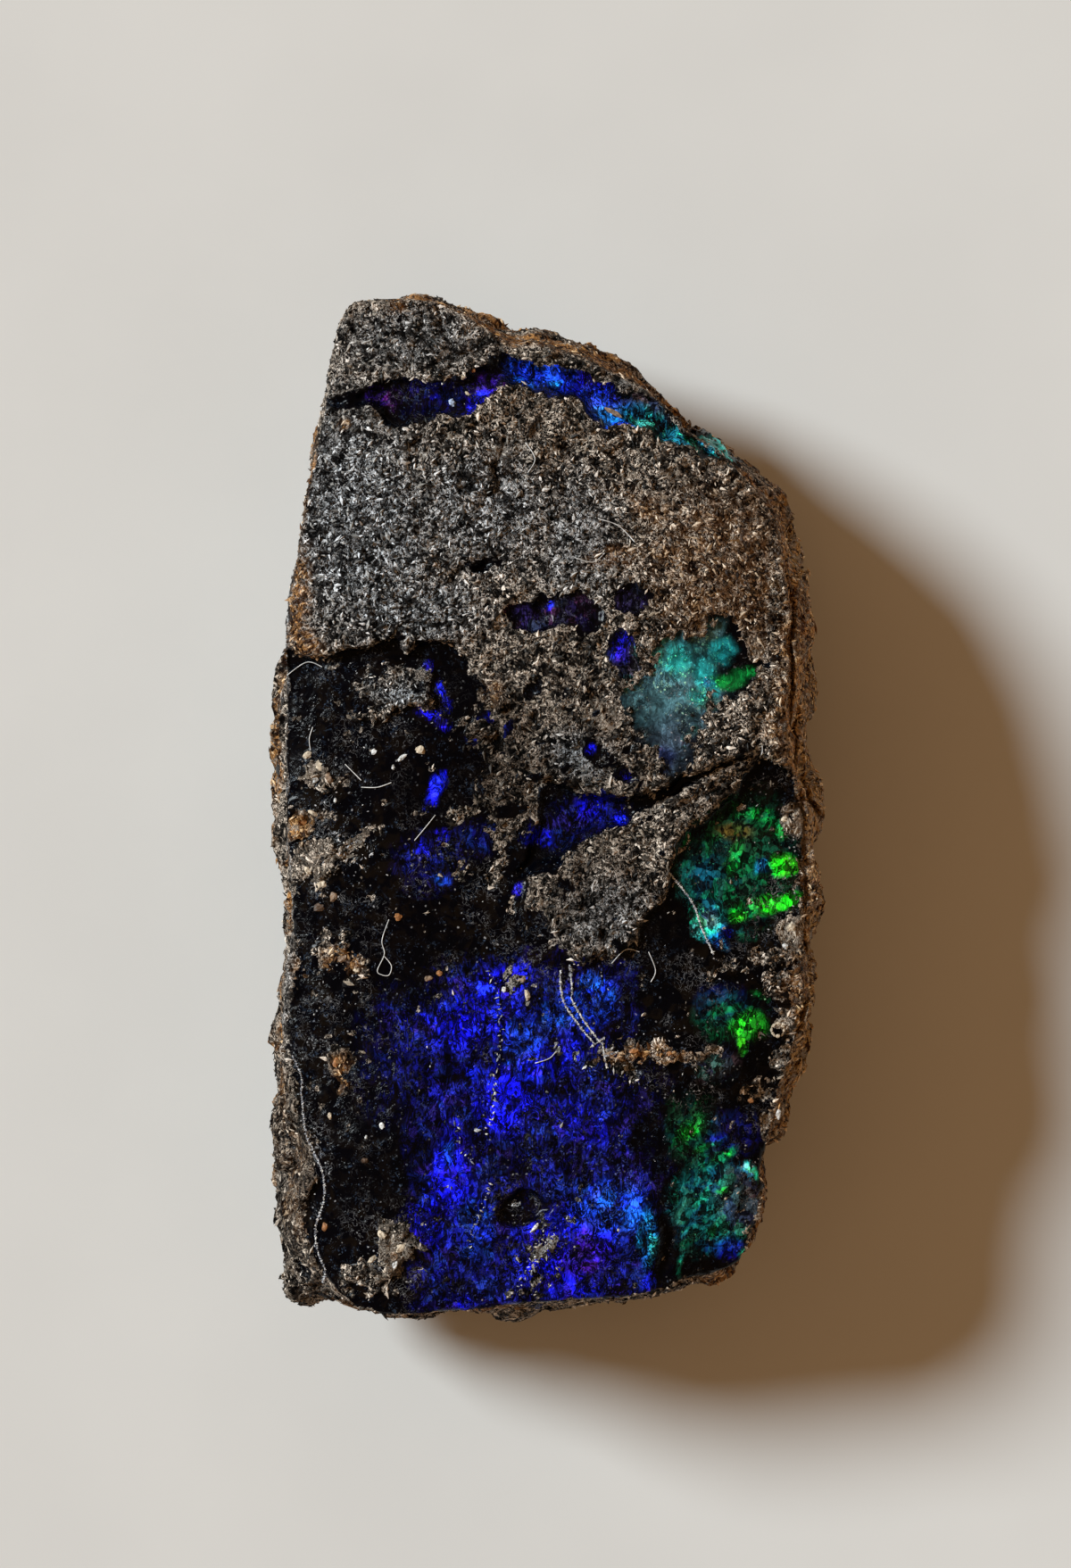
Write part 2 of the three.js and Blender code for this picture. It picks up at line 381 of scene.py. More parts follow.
# The opal's colours, each laid over the ones before it: colour, x, y, half width, half height, then
# turn in degrees, strength and softness.
GLOWS = [Glow(Fire[name], *numbers) for name, *numbers in [
    # The seam, from its dark left end to the bright sliver on the right edge.
    ("NAVY", -4.8, 18.0, 2.4, 1.0, 0, 0.3), ("PLUM", -6.9, 17.8, 0.5, 0.5, 0, 0.2),
    ("VIOLET", -7.4, 17.9, 0.4, 0.4, 0, 0.5), ("ELECTRIC", -5.1, 18.1, 0.28, 0.12),
    ("VIOLET", -2.7, 18.4, 1.3, 0.8, 50, 0.45), ("ULTRAMARINE", -3.0, 17.7, 0.8, 0.45, 40),
    ("ROYAL", -0.3, 19.0, 1.9, 0.75, -20), ("ULTRAMARINE", 2.2, 18.0, 1.8, 0.8, -28),
    ("ROYAL", 2.6, 17.5, 1.6, 0.9, -30, 0.9), ("AZURE", 2.6, 17.2, 0.8, 0.45, -20, 0.9),
    ("AZURE", 0.4, 18.5, 0.3, 0.2), ("ROYAL", 3.6, 16.9, 0.6, 0.35, 0), ("TEAL", 4.7, 16.8, 2.0, 0.7, -28),
    ("SLATE", 4.6, 17.4, 1.7, 0.35, -28, 0.8), ("TURQUOISE", 4.0, 16.8, 0.7, 0.3, -20, 0.7),
    ("FOREST", 5.6, 16.5, 0.7, 0.35, -30), ("TURQUOISE", 5.8, 16.1, 0.9, 0.3, -28, 0.8),
    ("CYAN", 7.3, 15.8, 1.1, 0.32, -36, 1.0, 0.5), ("ICE", 6.9, 16.1, 0.45, 0.16, -36, 0.6),
    # The windows in the plate.
    ("DUSK", -1.0, 8.25, 1.1, 0.8, -15), ("DUSK", 0.85, 8.45, 1.5, 0.8, -8),
    ("ELECTRIC", 0.1, 8.7, 0.18, 0.3, 0, 1.0), ("DUSK", 3.5, 9.15, 1.0, 0.65, 20),
    ("DUSK", 3.4, 6.5, 0.9, 1.0), ("ULTRAMARINE", 3.2, 6.9, 0.45, 0.55, 0, 0.9, 0.9),
    ("NAVY", 4.3, 6.0, 1.0, 0.8, 0, 0.7), ("ELECTRIC", 1.9, 2.65, 0.25, 0.2),
    ("ELECTRIC", 3.2, 1.6, 0.2, 0.16),
    # The milky patch.
    ("MIST", 5.4, 5.4, 2.2, 2.3, 0, 1.0, 0.9), ("SLATE", 5.4, 2.9, 1.3, 1.6, 0, 0.75, 0.9),
    ("TEAL", 5.6, 6.6, 1.4, 0.9, 0, 0.5), ("TURQUOISE", 5.5, 6.4, 0.7, 0.7, 30, 0.8),
    ("CYAN", 6.7, 6.0, 0.6, 0.8, -30, 0.85), ("GREEN", 7.6, 5.7, 0.8, 0.5, 10, 0.95),
    ("AZURE", 6.9, 5.6, 0.35, 0.25, 0, 0.8), ("TURQUOISE", 6.3, 5.0, 0.5, 0.6, 0, 0.7),
    ("TEAL", 7.5, 7.0, 0.75, 0.5, 0, 0.8), ("MIST", 7.0, 7.6, 0.9, 0.4, 30, 0.8),
    ("GREEN", 8.5, 6.1, 0.7, 0.35, -8, 0.4), ("CYAN", 7.0, 5.3, 0.25, 0.5, 0, 0.8),
    ("NAVY", 4.9, 2.2, 0.7, 0.7, 0, 0.5), ("GREEN", 9.0, 8.4, 0.18, 0.25, 0, 0.9),
    # The string of blue chips down the left middle.
    ("ELECTRIC", -5.1, 6.2, 0.2, 0.24, 0, 1.0, 0.4), ("ELECTRIC", -4.6, 5.35, 0.18, 0.38, 10, 1.0, 0.4),
    ("ELECTRIC", -4.45, 4.6, 0.2, 0.42, 10, 1.0, 0.4), ("ELECTRIC", -4.9, 3.9, 0.75, 0.32, -25, 1.0, 0.5),
    ("ELECTRIC", -4.85, 1.1, 0.38, 0.75, -12, 1.0, 0.3), ("ELECTRIC", -5.1, 0.3, 0.26, 0.35, -30, 1.0, 0.4),
    ("NAVY", -2.4, 3.6, 1.0, 0.8, 40, 0.8), ("ULTRAMARINE", -2.4, 4.1, 0.3, 0.25, 0, 0.6),
    ("ULTRAMARINE", -4.6, -1.1, 0.35, 0.5, 0, 0.5), ("NAVY", -3.2, -1.3, 1.4, 1.0, 0, 0.7),
    ("NAVY", -5.2, -2.3, 1.6, 1.5, 0, 0.6), ("ULTRAMARINE", -5.4, -1.8, 0.3, 0.3, 0, 0.5),
    ("ROYAL", -4.5, -3.0, 0.5, 0.3, -30, 0.5), ("ELECTRIC", -1.4, -3.4, 0.18, 0.25, 0, 0.9),
    # The wedge.
    ("NAVY", 1.4, -0.2, 2.6, 1.2, 30, 0.7), ("ULTRAMARINE", 1.7, 0.2, 0.9, 0.8, 0, 0.8),
    ("ULTRAMARINE", -0.4, -1.2, 0.7, 0.7, 0, 0.5), ("ELECTRIC", 1.5, 0.1, 0.3, 0.5, 20, 0.9),
    ("ULTRAMARINE", 3.1, -0.1, 0.35, 0.4, 0, 0.7),
    # The green hollow.
    ("FOREST", 8.3, -2.2, 2.8, 3.0, 0, 0.8, 0.8), ("TEAL", 6.6, -3.1, 1.0, 1.3, 0, 0.7),
    ("OLIVE", 8.0, -1.0, 1.0, 0.5, 0, 0.8), ("GREEN", 8.8, -0.2, 1.0, 0.28, 5, 0.55, 0.5),
    ("GREEN", 9.8, -0.5, 0.8, 0.4, -20, 0.55, 0.5), ("GREEN", 8.1, -2.1, 0.4, 0.75, -12, 0.75, 0.4),
    ("AZURE", 9.2, -2.6, 0.32, 0.5, -40, 0.85), ("LIME", 10.15, -2.45, 0.75, 0.65, 25, 1.0, 0.4),
    ("LIME", 9.9, -4.0, 1.35, 0.42, 14, 1.0, 0.4), ("GREEN", 8.4, -4.2, 0.8, 0.5, 10, 0.8, 0.5),
    ("LIME", 8.0, -4.4, 0.4, 0.3, 0, 0.8, 0.4), ("TURQUOISE", 6.9, -4.1, 0.45, 0.28, 20, 0.9),
    ("CYAN", 6.9, -5.0, 0.78, 0.82, -20, 1.0, 0.4), ("ICE", 6.9, -4.85, 0.5, 0.42, 0, 0.9),
    ("AZURE", 7.3, -5.8, 0.6, 0.3, -20, 0.95), ("ULTRAMARINE", 7.8, -5.3, 0.4, 0.35, 0, 0.8),
    ("FOREST", 8.5, -5.4, 0.7, 0.4, -30, 1.0),
    # The second hollow.
    ("NAVY", 7.6, -8.3, 1.4, 0.9, 0, 0.8), ("FOREST", 7.8, -8.9, 1.6, 1.2, 0, 0.6),
    ("GREEN", 7.6, -8.5, 0.8, 0.25, 15, 0.7, 0.5), ("LIME", 8.6, -9.2, 0.85, 0.6, -15, 0.95, 0.5),
    ("LIME", 8.4, -10.0, 0.25, 0.6, -15, 0.8, 0.5), ("SLATE", 7.3, -10.9, 1.0, 1.0, 0, 0.8),
    ("GREEN", 9.2, -8.0, 0.5, 0.16, -10, 0.7, 0.5),
    # The lobe at the lower right.
    ("NAVY", 7.8, -14.0, 1.8, 1.2, 0, 0.85), ("FOREST", 6.2, -14.0, 1.3, 1.9, 0, 0.8),
    ("GREEN", 6.2, -13.7, 0.6, 0.85, -35, 1.0, 0.6), ("LIME", 6.1, -13.9, 0.28, 0.4, -20, 0.8),
    ("GREEN", 7.3, -15.3, 1.1, 0.25, 38, 0.9, 0.5), ("GREEN", 6.9, -14.6, 0.9, 0.15, 25, 0.6, 0.5),
    ("ULTRAMARINE", 7.3, -14.2, 0.5, 0.35, 0, 0.55), ("CYAN", 8.7, -15.7, 0.55, 0.35, -20, 1.0, 0.5),
    ("ICE", 8.6, -15.6, 0.3, 0.18, -20, 0.6), ("TEAL", 6.9, -17.2, 1.8, 2.2, 0, 0.85),
    ("SLATE", 8.2, -17.0, 1.3, 1.4, 0, 0.7), ("LIME", 7.5, -16.5, 0.25, 0.2, 0, 0.7),
    ("TURQUOISE", 5.75, -18.2, 0.12, 1.9, 0, 0.6), ("ULTRAMARINE", 7.7, -19.0, 0.9, 0.6, 0, 0.6),
    ("TURQUOISE", 8.5, -19.2, 0.35, 0.35, 0, 0.8), ("GREEN", 6.9, -18.3, 0.2, 0.3, 0, 0.7),
    # The blue field.
    ("NAVY", -6.2, -10.5, 2.2, 3.0, 0, 0.45, 0.9), ("ULTRAMARINE", -3.3, -8.9, 2.4, 1.5, 35, 0.75),
    ("ULTRAMARINE", -5.7, -8.9, 0.9, 0.4, 0, 0.6), ("ELECTRIC", -3.1, -7.9, 0.55, 0.35, 25),
    ("ELECTRIC", -3.9, -9.4, 1.0, 0.4, 35), ("ELECTRIC", -2.9, -9.7, 0.3, 0.7, -20, 0.9),
    ("ULTRAMARINE", -1.7, -7.2, 0.9, 0.6), ("ROYAL", -0.2, -9.6, 2.2, 1.8, 40, 0.6),
    ("ULTRAMARINE", 0.2, -10.6, 2.2, 0.9, 35, 0.7), ("ROYAL", 1.9, -8.2, 1.2, 1.3, 0, 0.7),
    ("ULTRAMARINE", -1.9, -12.4, 1.7, 1.7, 0, 0.95), ("ELECTRIC", -1.6, -13.0, 0.5, 0.7, -15),
    ("ULTRAMARINE", -3.2, -11.3, 0.5, 0.5, 0, 0.8), ("NAVY", 1.6, -14.0, 2.6, 2.4, 0, 0.65),
    ("ULTRAMARINE", 1.4, -13.5, 1.8, 1.2, -20, 0.45), ("ULTRAMARINE", -4.4, -15.8, 1.0, 2.2, -8, 1.0),
    ("ELECTRIC", -3.7, -15.6, 0.45, 1.4, 8, 0.8), ("ROYAL", -4.3, -14.8, 0.3, 0.8, 0, 0.7),
    ("ULTRAMARINE", -5.2, -18.1, 1.0, 1.5, 0, 0.6), ("NAVY", -4.0, -19.8, 1.9, 2.0, 0, 0.6),
    ("ROYAL", -3.1, -18.0, 1.0, 1.6, 0, 0.35), ("INK", -1.7, -15.3, 1.1, 1.1, 0, 0.6),
    ("ULTRAMARINE", 0.9, -19.0, 2.8, 2.3, 0, 0.9), ("VIOLET", 1.6, -19.3, 1.4, 1.1, 0, 0.6),
    ("PLUM", 1.5, -18.6, 0.7, 0.6, 60, 0.5), ("ROYAL", 2.6, -17.0, 1.9, 1.2, 0, 0.75),
    ("NAVY", 3.0, -19.8, 1.1, 1.5, 0, 0.65), ("ROYAL", 3.4, -17.2, 1.1, 1.0, 0, 0.7),
    ("AZURE", 4.2, -18.4, 0.45, 1.5, -4, 0.75), ("CYAN", 4.35, -18.7, 0.2, 0.9, -4, 0.8, 0.8),
    ("ELECTRIC", 4.3, -20.4, 0.3, 0.5, 0, 0.7), ("ULTRAMARINE", -3.7, -21.3, 0.5, 0.6, 0, 0.7),
    ("ELECTRIC", -0.4, -19.6, 0.3, 0.9, -38, 0.8), ("NAVY", 3.9, -11.8, 1.6, 1.0, 0, 0.4),
]]
# Holes in the opal, with painted shade that makes them black: how deep each is, then its oval.
HOLES = [(Oval(*numbers), deep) for deep, *numbers in [
    (0.4, -1.05, -17.2, 1.25, 0.85, 10), (0.25, 5.0, -18.6, 0.45, 2.6), (0.3, 9.1, -12.2, 0.9, 0.5),
    (0.2, 4.4, -14.4, 0.8, 1.6, 15), (0.2, -3.3, -7.0, 0.35, 0.25), (0.4, -10.4, -0.4, 0.35, 0.35),
    (0.2, 3.6, -11.2, 0.5, 0.35), (0.2, 8.3, -7.2, 0.35, 0.3),
]]


class Pebbling(Enum):
    """The colours of the single large grains, in linear light."""

    WHITE = (0.80, 0.81, 0.80)
    CREAM = (0.66, 0.55, 0.41)
    TAN = (0.30, 0.20, 0.13)
    ORANGE = (0.42, 0.18, 0.06)
    BROWN = (0.10, 0.055, 0.03)
    ICE = (0.42, 0.52, 0.72)


@dataclass(frozen=True)
class Pebble:
    """One large grain: its colour, place and size in millimetres."""

    kind: Pebbling
    x: float
    y: float
    rx: float
    ry: float
    turn: float = 0.0


def ring_of(kind: Pebbling, x: float, y: float, radius: float, count: int) -> list[Pebble]:
    """A crust broken open in the middle: grains set round a ring.

    Args:
        kind: The grains' colour.
        x: The ring's middle.
        y: The ring's middle.
        radius: The ring's radius.
        count: How many grains.

    Returns:
        The grains.
    """
    turns = [2.0 * math.pi * i / count for i in range(count)]
    return [
        Pebble(kind, x + radius * math.cos(turn), y + radius * math.sin(turn), 0.55 * radius, 0.35 * radius,
               90.0 + math.degrees(turn))
        for turn in turns
    ]


# The single large grains: colour, x, y, half width, half height and turn in degrees.
PEBBLES = [Pebble(Pebbling[name], *numbers) for name, *numbers in [
    # In the seam.
    ("CREAM", -3.76, 18.75, 0.21, 0.14, -20), ("CREAM", -3.53, 18.04, 0.15, 0.10, -25),
    ("ICE", -4.2, 17.62, 0.17, 0.2, 20), ("WHITE", -4.62, 18.45, 0.05, 0.06),
    ("TAN", 2.75, 17.3, 0.5, 0.16, -28), ("ORANGE", -3.3, 19.05, 0.16, 0.1),
    # Along the left.
    ("WHITE", -7.55, 2.5, 0.16, 0.22, -15), ("WHITE", -6.3, 2.3, 0.12, 0.34, -50),
    ("WHITE", -6.72, 1.86, 0.08, 0.13), ("CREAM", -5.55, 2.6, 0.28, 0.24, 10),
    ("WHITE", -9.23, 0.43, 0.08, 0.12), ("CREAM", -10.4, 2.4, 0.28, 0.2, 30),
    ("CREAM", -9.9, 1.9, 0.2, 0.26, 10), ("WHITE", -10.1, 1.35, 0.2, 0.16, -30),
    ("TAN", -9.5, 1.4, 0.2, 0.3, 20), ("CREAM", -9.8, -3.2, 0.3, 0.2, 40),
    ("TAN", -9.3, -3.7, 0.22, 0.26, 0), ("CREAM", -10.4, -2.6, 0.24, 0.16, -40),
    ("BROWN", -9.9, -4.2, 0.3, 0.2, 15), ("ORANGE", -10.7, -0.5, 0.3, 0.22, 20),
    ("CREAM", -10.2, -0.1, 0.26, 0.14, -35), ("ORANGE", -6.5, -4.6, 0.22, 0.2),
    ("TAN", -8.9, -6.4, 0.3, 0.22, 20), ("CREAM", -8.3, -6.9, 0.2, 0.14, -20),
    ("ORANGE", -9.2, -10.9, 0.16, 0.28, -15), ("BROWN", -8.9, -12.0, 0.2, 0.22),
    ("WHITE", -7.2, -13.6, 0.14, 0.2, 15), ("WHITE", -7.9, -14.1, 0.07, 0.1),
    ("BROWN", -7.95, -15.1, 0.18, 0.14), ("CREAM", -9.47, -13.2, 0.12, 0.18),
    ("ORANGE", -9.7, -18.0, 0.16, 0.24), ("CREAM", -7.2, -18.3, 0.2, 0.3, 35),
    ("CREAM", -6.4, -18.9, 0.3, 0.2, 50), ("WHITE", -6.7, -19.7, 0.16, 0.3, -30),
    ("CREAM", -7.6, -19.4, 0.3, 0.18, 40),
    # In and above the blue field.
    ("ORANGE", -4.73, -7.02, 0.16, 0.14), ("TAN", -5.2, -7.25, 0.22, 0.16, 20),
    ("WHITE", -1.94, -7.72, 0.12, 0.16), ("CREAM", -0.93, -7.95, 0.14, 0.3, 10),
    ("TAN", -1.1, -7.3, 0.16, 0.2, -20), ("WHITE", -0.6, -18.0, 0.1, 0.34, -40),
    # The right side.
    ("ORANGE", 8.7, -12.6, 0.2, 0.14, 20), ("CREAM", 10.5, -5.1, 0.26, 0.2, 20),
    ("WHITE", 10.2, -5.9, 0.2, 0.16, -20), ("CREAM", 10.9, 0.3, 0.26, 0.18, 40),
    ("CREAM", 10.2, -0.4, 0.2, 0.16, 0), ("WHITE", 9.9, -13.1, 0.22, 0.34, 10),
    ("CREAM", 9.9, -14.2, 0.2, 0.26, -15), ("CREAM", 9.3, -17.4, 0.2, 0.3, 0),
    ("ORANGE", 3.6, -10.4, 0.26, 0.16, 10), ("ORANGE", 5.2, -10.5, 0.18, 0.14, 0),
    ("TAN", 2.6, -10.5, 0.3, 0.14, 10),
]]
PEBBLES += ring_of(Pebbling.CREAM, 9.9, -9.5, 0.26, 8)

# The paths of the lint fibres.
LINT = [
    [(-11.5, 5.7), (-10.5, 6.4), (-9.8, 6.2)], [(-8.8, 2.0), (-8.5, 1.7), (-8.1, 1.3)],
    [(-8.1, 1.0), (-7.4, 1.0), (-6.8, 1.2)], [(-5.8, -1.3), (-5.3, -0.7), (-4.9, -0.2)],
    [(-10.2, 3.6), (-10.35, 3.1), (-10.3, 2.6)],
    [(-6.9, -4.7), (-7.2, -5.6), (-7.1, -6.2), (-7.4, -6.9), (-7.2, -7.1), (-6.9, -7.1), (-6.8, -6.7),
     (-7.1, -6.3)],
    [(2.7, -6.6), (3.3, -6.0), (3.9, -6.1)], [(4.3, -6.1), (4.6, -6.9), (4.4, -7.4)],
    [(-0.6, -10.9), (0.0, -10.7), (0.3, -10.4)], [(9.2, 2.8), (9.2, 2.5), (9.1, 2.3)],
    [(2.1, 12.6), (3.0, 12.3), (3.7, 11.6)], [(-1.0, 15.9), (-0.6, 15.2), (-0.9, 14.6)],
    [(1.1, 10.9), (1.9, 10.7), (2.4, 11.1)],
]
# Bright mineral in the forked crack, and bright grains along the lower left rim that are a painted highlight
# on its edge.
BRIGHT_CRACKS = [
    [(0.9, -6.7), (1.0, -7.8), (1.0, -8.2), (1.6, -9.2), (2.2, -10.0)],
    [(0.5, -6.9), (0.5, -7.6), (0.7, -8.4), (1.4, -9.4), (2.0, -10.1)],
    [(1.8, -10.2), (2.4, -9.8)], [(2.3, -10.0), (2.4, -10.6), (2.5, -11.1)], [(2.4, -10.6), (3.0, -10.4)],
    [(5.2, -2.7), (6.2, -4.0), (6.6, -5.1), (7.1, -6.2)],
]
# The lower left rim, where bright grains are a painted highlight on the edge.
RIM_LINE = [
    (-11.1, -10.6), (-10.7, -11.5), (-10.7, -12.3), (-10.5, -14.0), (-10.2, -14.7), (-9.8, -15.6),
    (-9.7, -16.4), (-9.8, -17.1), (-10.1, -18.1), (-10.0, -19.1), (-9.7, -19.9), (-9.8, -20.5),
]
# Loose pale flecks along the long crack of the blue field.
FLECK_CRACKS = [
    [(-2.6, -6.9), (-2.3, -7.8), (-2.1, -9.0), (-2.1, -10.2), (-2.3, -11.3), (-2.4, -12.9), (-2.7, -13.9)],
    [(-4.0, -13.3), (-3.9, -14.2), (-3.6, -14.8), (-3.3, -15.2)],
    [(-2.6, -16.2), (-2.9, -17.1), (-3.3, -18.1), (-3.5, -18.9)],
    [(-0.2, -18.2), (-0.7, -19.3), (-1.4, -20.8)], [(0.2, -18.3), (-0.3, -19.2), (-0.8, -20.1)],
    [(-9.3, -0.9), (-8.7, -1.5), (-8.1, -1.4), (-7.6, -2.0)], [(-9.0, -1.9), (-8.4, -2.3), (-8.0, -2.0)],
]


class Ground(Enum):
    """What an area of ironstone is made of, besides the common grey-brown."""

    RUST = "rust"
    PALE = "pale"
    COOL = "cool"
    DARK = "dark"
    DIRT = "dirt"


@dataclass(frozen=True)
class Tint:
    """One oval of a ground, with its strength."""

    ground: Ground
    x: float
    y: float
    rx: float
    ry: float
    turn: float = 0.0
    strength: float = 1.0

    def share(self, x: np.ndarray, y: np.ndarray) -> np.ndarray:
        """How much of this ground each point takes."""
        oval = Oval(self.x, self.y, self.rx, self.ry, self.turn)
        edge = 0.7 * min(self.rx, self.ry)
        return self.strength * rise(-0.3 * edge, edge, oval.depth(x, y))


# The grounds of the ironstone: kind, x, y, half width, half height, turn in degrees and strength.
TINTS = [Tint(Ground[name], *numbers) for name, *numbers in [
    # Cool blue-grey over the upper left of the plate, browner to the right.
    ("COOL", -8.2, 12.5, 4.6, 7.5, 12, 0.9), ("COOL", -6.0, 20.4, 4.0, 1.9, 0, 0.7),
    ("COOL", -3.2, 13.0, 4.5, 3.4, 0, 0.8), ("COOL", -6.2, 8.6, 4.4, 2.1, 0, 0.9),
    ("COOL", 1.2, 11.8, 2.4, 3.8, 0, 0.7), ("COOL", -6.3, 5.1, 1.8, 0.9, 0, 1.0),
    ("COOL", 1.2, 2.4, 1.9, 1.1, 0, 1.0), ("COOL", 2.4, -4.6, 2.5, 2.2, 0, 0.7),
    ("DARK", 4.9, 18.2, 3.4, 0.7, -28, 0.6), ("COOL", 4.9, 18.2, 3.4, 0.7, -28, 0.8),
    ("DARK", 1.6, -3.6, 3.6, 2.8, 30, 0.68), ("DARK", 0.6, 2.4, 5.6, 3.6, 0, 0.6),
    # Rust along the left edge, the right rim and in small specks.
    ("RUST", -11.1, 9.2, 0.9, 2.9, 0, 0.9), ("RUST", -10.6, 7.2, 1.0, 1.0, 0, 0.8),
    ("RUST", 11.2, 6.3, 1.5, 6.2, 0, 1.0), ("RUST", 7.5, 10.5, 3.6, 4.4, 0, 0.38),
    ("RUST", 4.6, 13.2, 1.6, 0.7, -25, 0.45), ("RUST", 2.6, 10.9, 1.5, 0.5, 15, 0.5),
    ("DARK", 3.0, 12.0, 2.2, 0.35, 12, 0.6), ("DARK", -3.0, 10.8, 1.2, 0.5, 0, 0.6),
    ("RUST", 11.0, 10.6, 0.8, 2.4, 15, 0.8), ("RUST", 11.7, -2.0, 0.9, 6.0, 0, 1.0),
    ("RUST", 5.2, 4.0, 0.3, 0.3, 0, 0.7), ("RUST", -6.6, 21.8, 0.5, 0.5, 0, 0.6),
    ("RUST", -8.8, 16.7, 0.4, 0.3, 0, 0.6), ("RUST", 2.8, 17.3, 0.4, 0.3, 0, 0.5),
    ("RUST", -3.8, 18.6, 0.8, 0.4, 0, 0.7), ("RUST", 5.3, 11.0, 1.2, 0.7, -30, 0.4),
    ("RUST", 6.3, 8.9, 1.0, 0.5, 0, 0.4), ("RUST", -2.4, 5.2, 0.6, 0.7, 0, 0.6),
    ("RUST", 10.2, 3.6, 1.1, 1.0, 0, 0.7), ("RUST", -10.8, -0.6, 0.9, 0.8, 0, 1.0),
    ("PALE", -10.8, -0.6, 0.8, 0.7, 0, 0.5), ("RUST", -8.9, -6.6, 0.9, 0.7, 15, 0.8),
    ("RUST", -9.0, -11.5, 0.6, 1.1, -15, 0.9), ("RUST", -10.8, -7.3, 0.4, 0.7, 0, 0.8),
    ("RUST", 4.2, -10.5, 2.3, 0.5, 3, 0.9), ("RUST", -10.1, -18.1, 0.3, 0.5, 0, 0.9),
    ("RUST", 10.9, -7.6, 0.9, 1.8, 0, 0.6),
    # Cream crust.
    ("PALE", -10.2, 1.6, 0.8, 0.7, 0, 0.45), ("PALE", -10.0, -2.3, 1.1, 1.1, 0, 0.25),
    ("PALE", -8.2, -1.5, 1.0, 0.5, 20, 0.25), ("PALE", -6.8, -19.2, 1.3, 1.3, 35, 0.35),
    ("PALE", 9.1, 7.2, 0.5, 0.5, 0, 0.8), ("PALE", 10.6, -0.2, 0.7, 0.7, 0, 0.7),
    ("PALE", 10.5, -5.4, 0.8, 0.9, 0, 0.6), ("PALE", 9.9, -13.4, 0.7, 1.4, 0, 0.8),
    ("PALE", 9.3, -17.4, 0.5, 1.0, 0, 0.8), ("PALE", 2.3, 4.2, 0.8, 0.5, 0, 0.6),
    ("PALE", -2.2, 15.4, 0.5, 0.5, 0, 0.4), ("PALE", 7.2, 7.6, 0.9, 0.4, 20, 0.7),
    ("PALE", 9.9, -9.2, 0.5, 0.6, 0, 0.7), ("PALE", 0.0, -18.7, 0.3, 0.9, -35, 0.9),
    # Painted highlight on the left rim, where it catches the light, and painted light on the right rim, which
    # lies in shade.
    ("COOL", -12.0, 3.0, 0.8, 12.0, 0, 1.0), ("PALE", 12.0, 4.0, 1.0, 9.0, 0, 0.9),
    # Crumbs of ironstone on the potch.
    ("DIRT", -8.0, 4.0, 3.6, 3.4, 0, 0.45), ("DIRT", -9.4, -1.5, 2.9, 4.0, 0, 0.75),
    ("DIRT", -9.0, -8.5, 2.6, 5.0, 0, 0.48), ("DIRT", -7.6, -3.0, 4.5, 3.0, 0, 0.42),
    ("DIRT", -2.8, -4.2, 3.4, 3.0, 0, 0.45), ("DIRT", -8.4, -13.5, 2.2, 3.5, 0, 0.18),
    ("DIRT", -7.2, -19.6, 2.6, 2.8, 0, 0.7), ("DIRT", 1.2, -6.6, 3.0, 1.0, 0, 0.7),
    ("DIRT", 5.2, -8.6, 2.2, 2.6, 0, 0.45), ("DIRT", 10.2, -4.0, 1.6, 9.0, 0, 0.7),
    ("DIRT", 9.0, -16.0, 1.3, 4.0, 0, 0.7), ("DIRT", 7.6, -6.9, 2.4, 1.1, 0, 0.8),
    ("DIRT", 6.2, -11.8, 3.2, 1.0, 0, 0.7), ("COOL", -1.0, -14.0, 6.0, 8.6, 0, 0.9),
    ("DIRT", -0.6, -17.6, 2.2, 2.6, 0, 0.35), ("DIRT", -2.4, -12.0, 0.5, 4.0, 0, 0.5),
    ("DIRT", 5.8, 4.4, 2.6, 3.2, 0, 0.35), ("DIRT", -4.0, 17.6, 3.6, 1.2, 0, 0.3),
    # Dull and dark stretches.
    ("DARK", -2.2, 2.0, 2.4, 5.0, 0, 0.95), ("DARK", 0.6, 5.4, 2.0, 1.6, 0, 0.5),
    ("DARK", -10.2, -15.0, 1.2, 7.0, 0, 0.5), ("DIRT", -10.4, -15.5, 1.3, 6.0, 0, 0.9),
    ("DARK", -8.4, 17.8, 2.3, 0.5, 0, 0.9), ("DARK", 7.9, 0.6, 2.6, 0.7, 25, 0.5),
]]


# ---------------------------------------------------------------------------------------------
# Materials
# ---------------------------------------------------------------------------------------------


SocketPair = tuple[bpy.types.NodeSocket, bpy.types.NodeSocket]


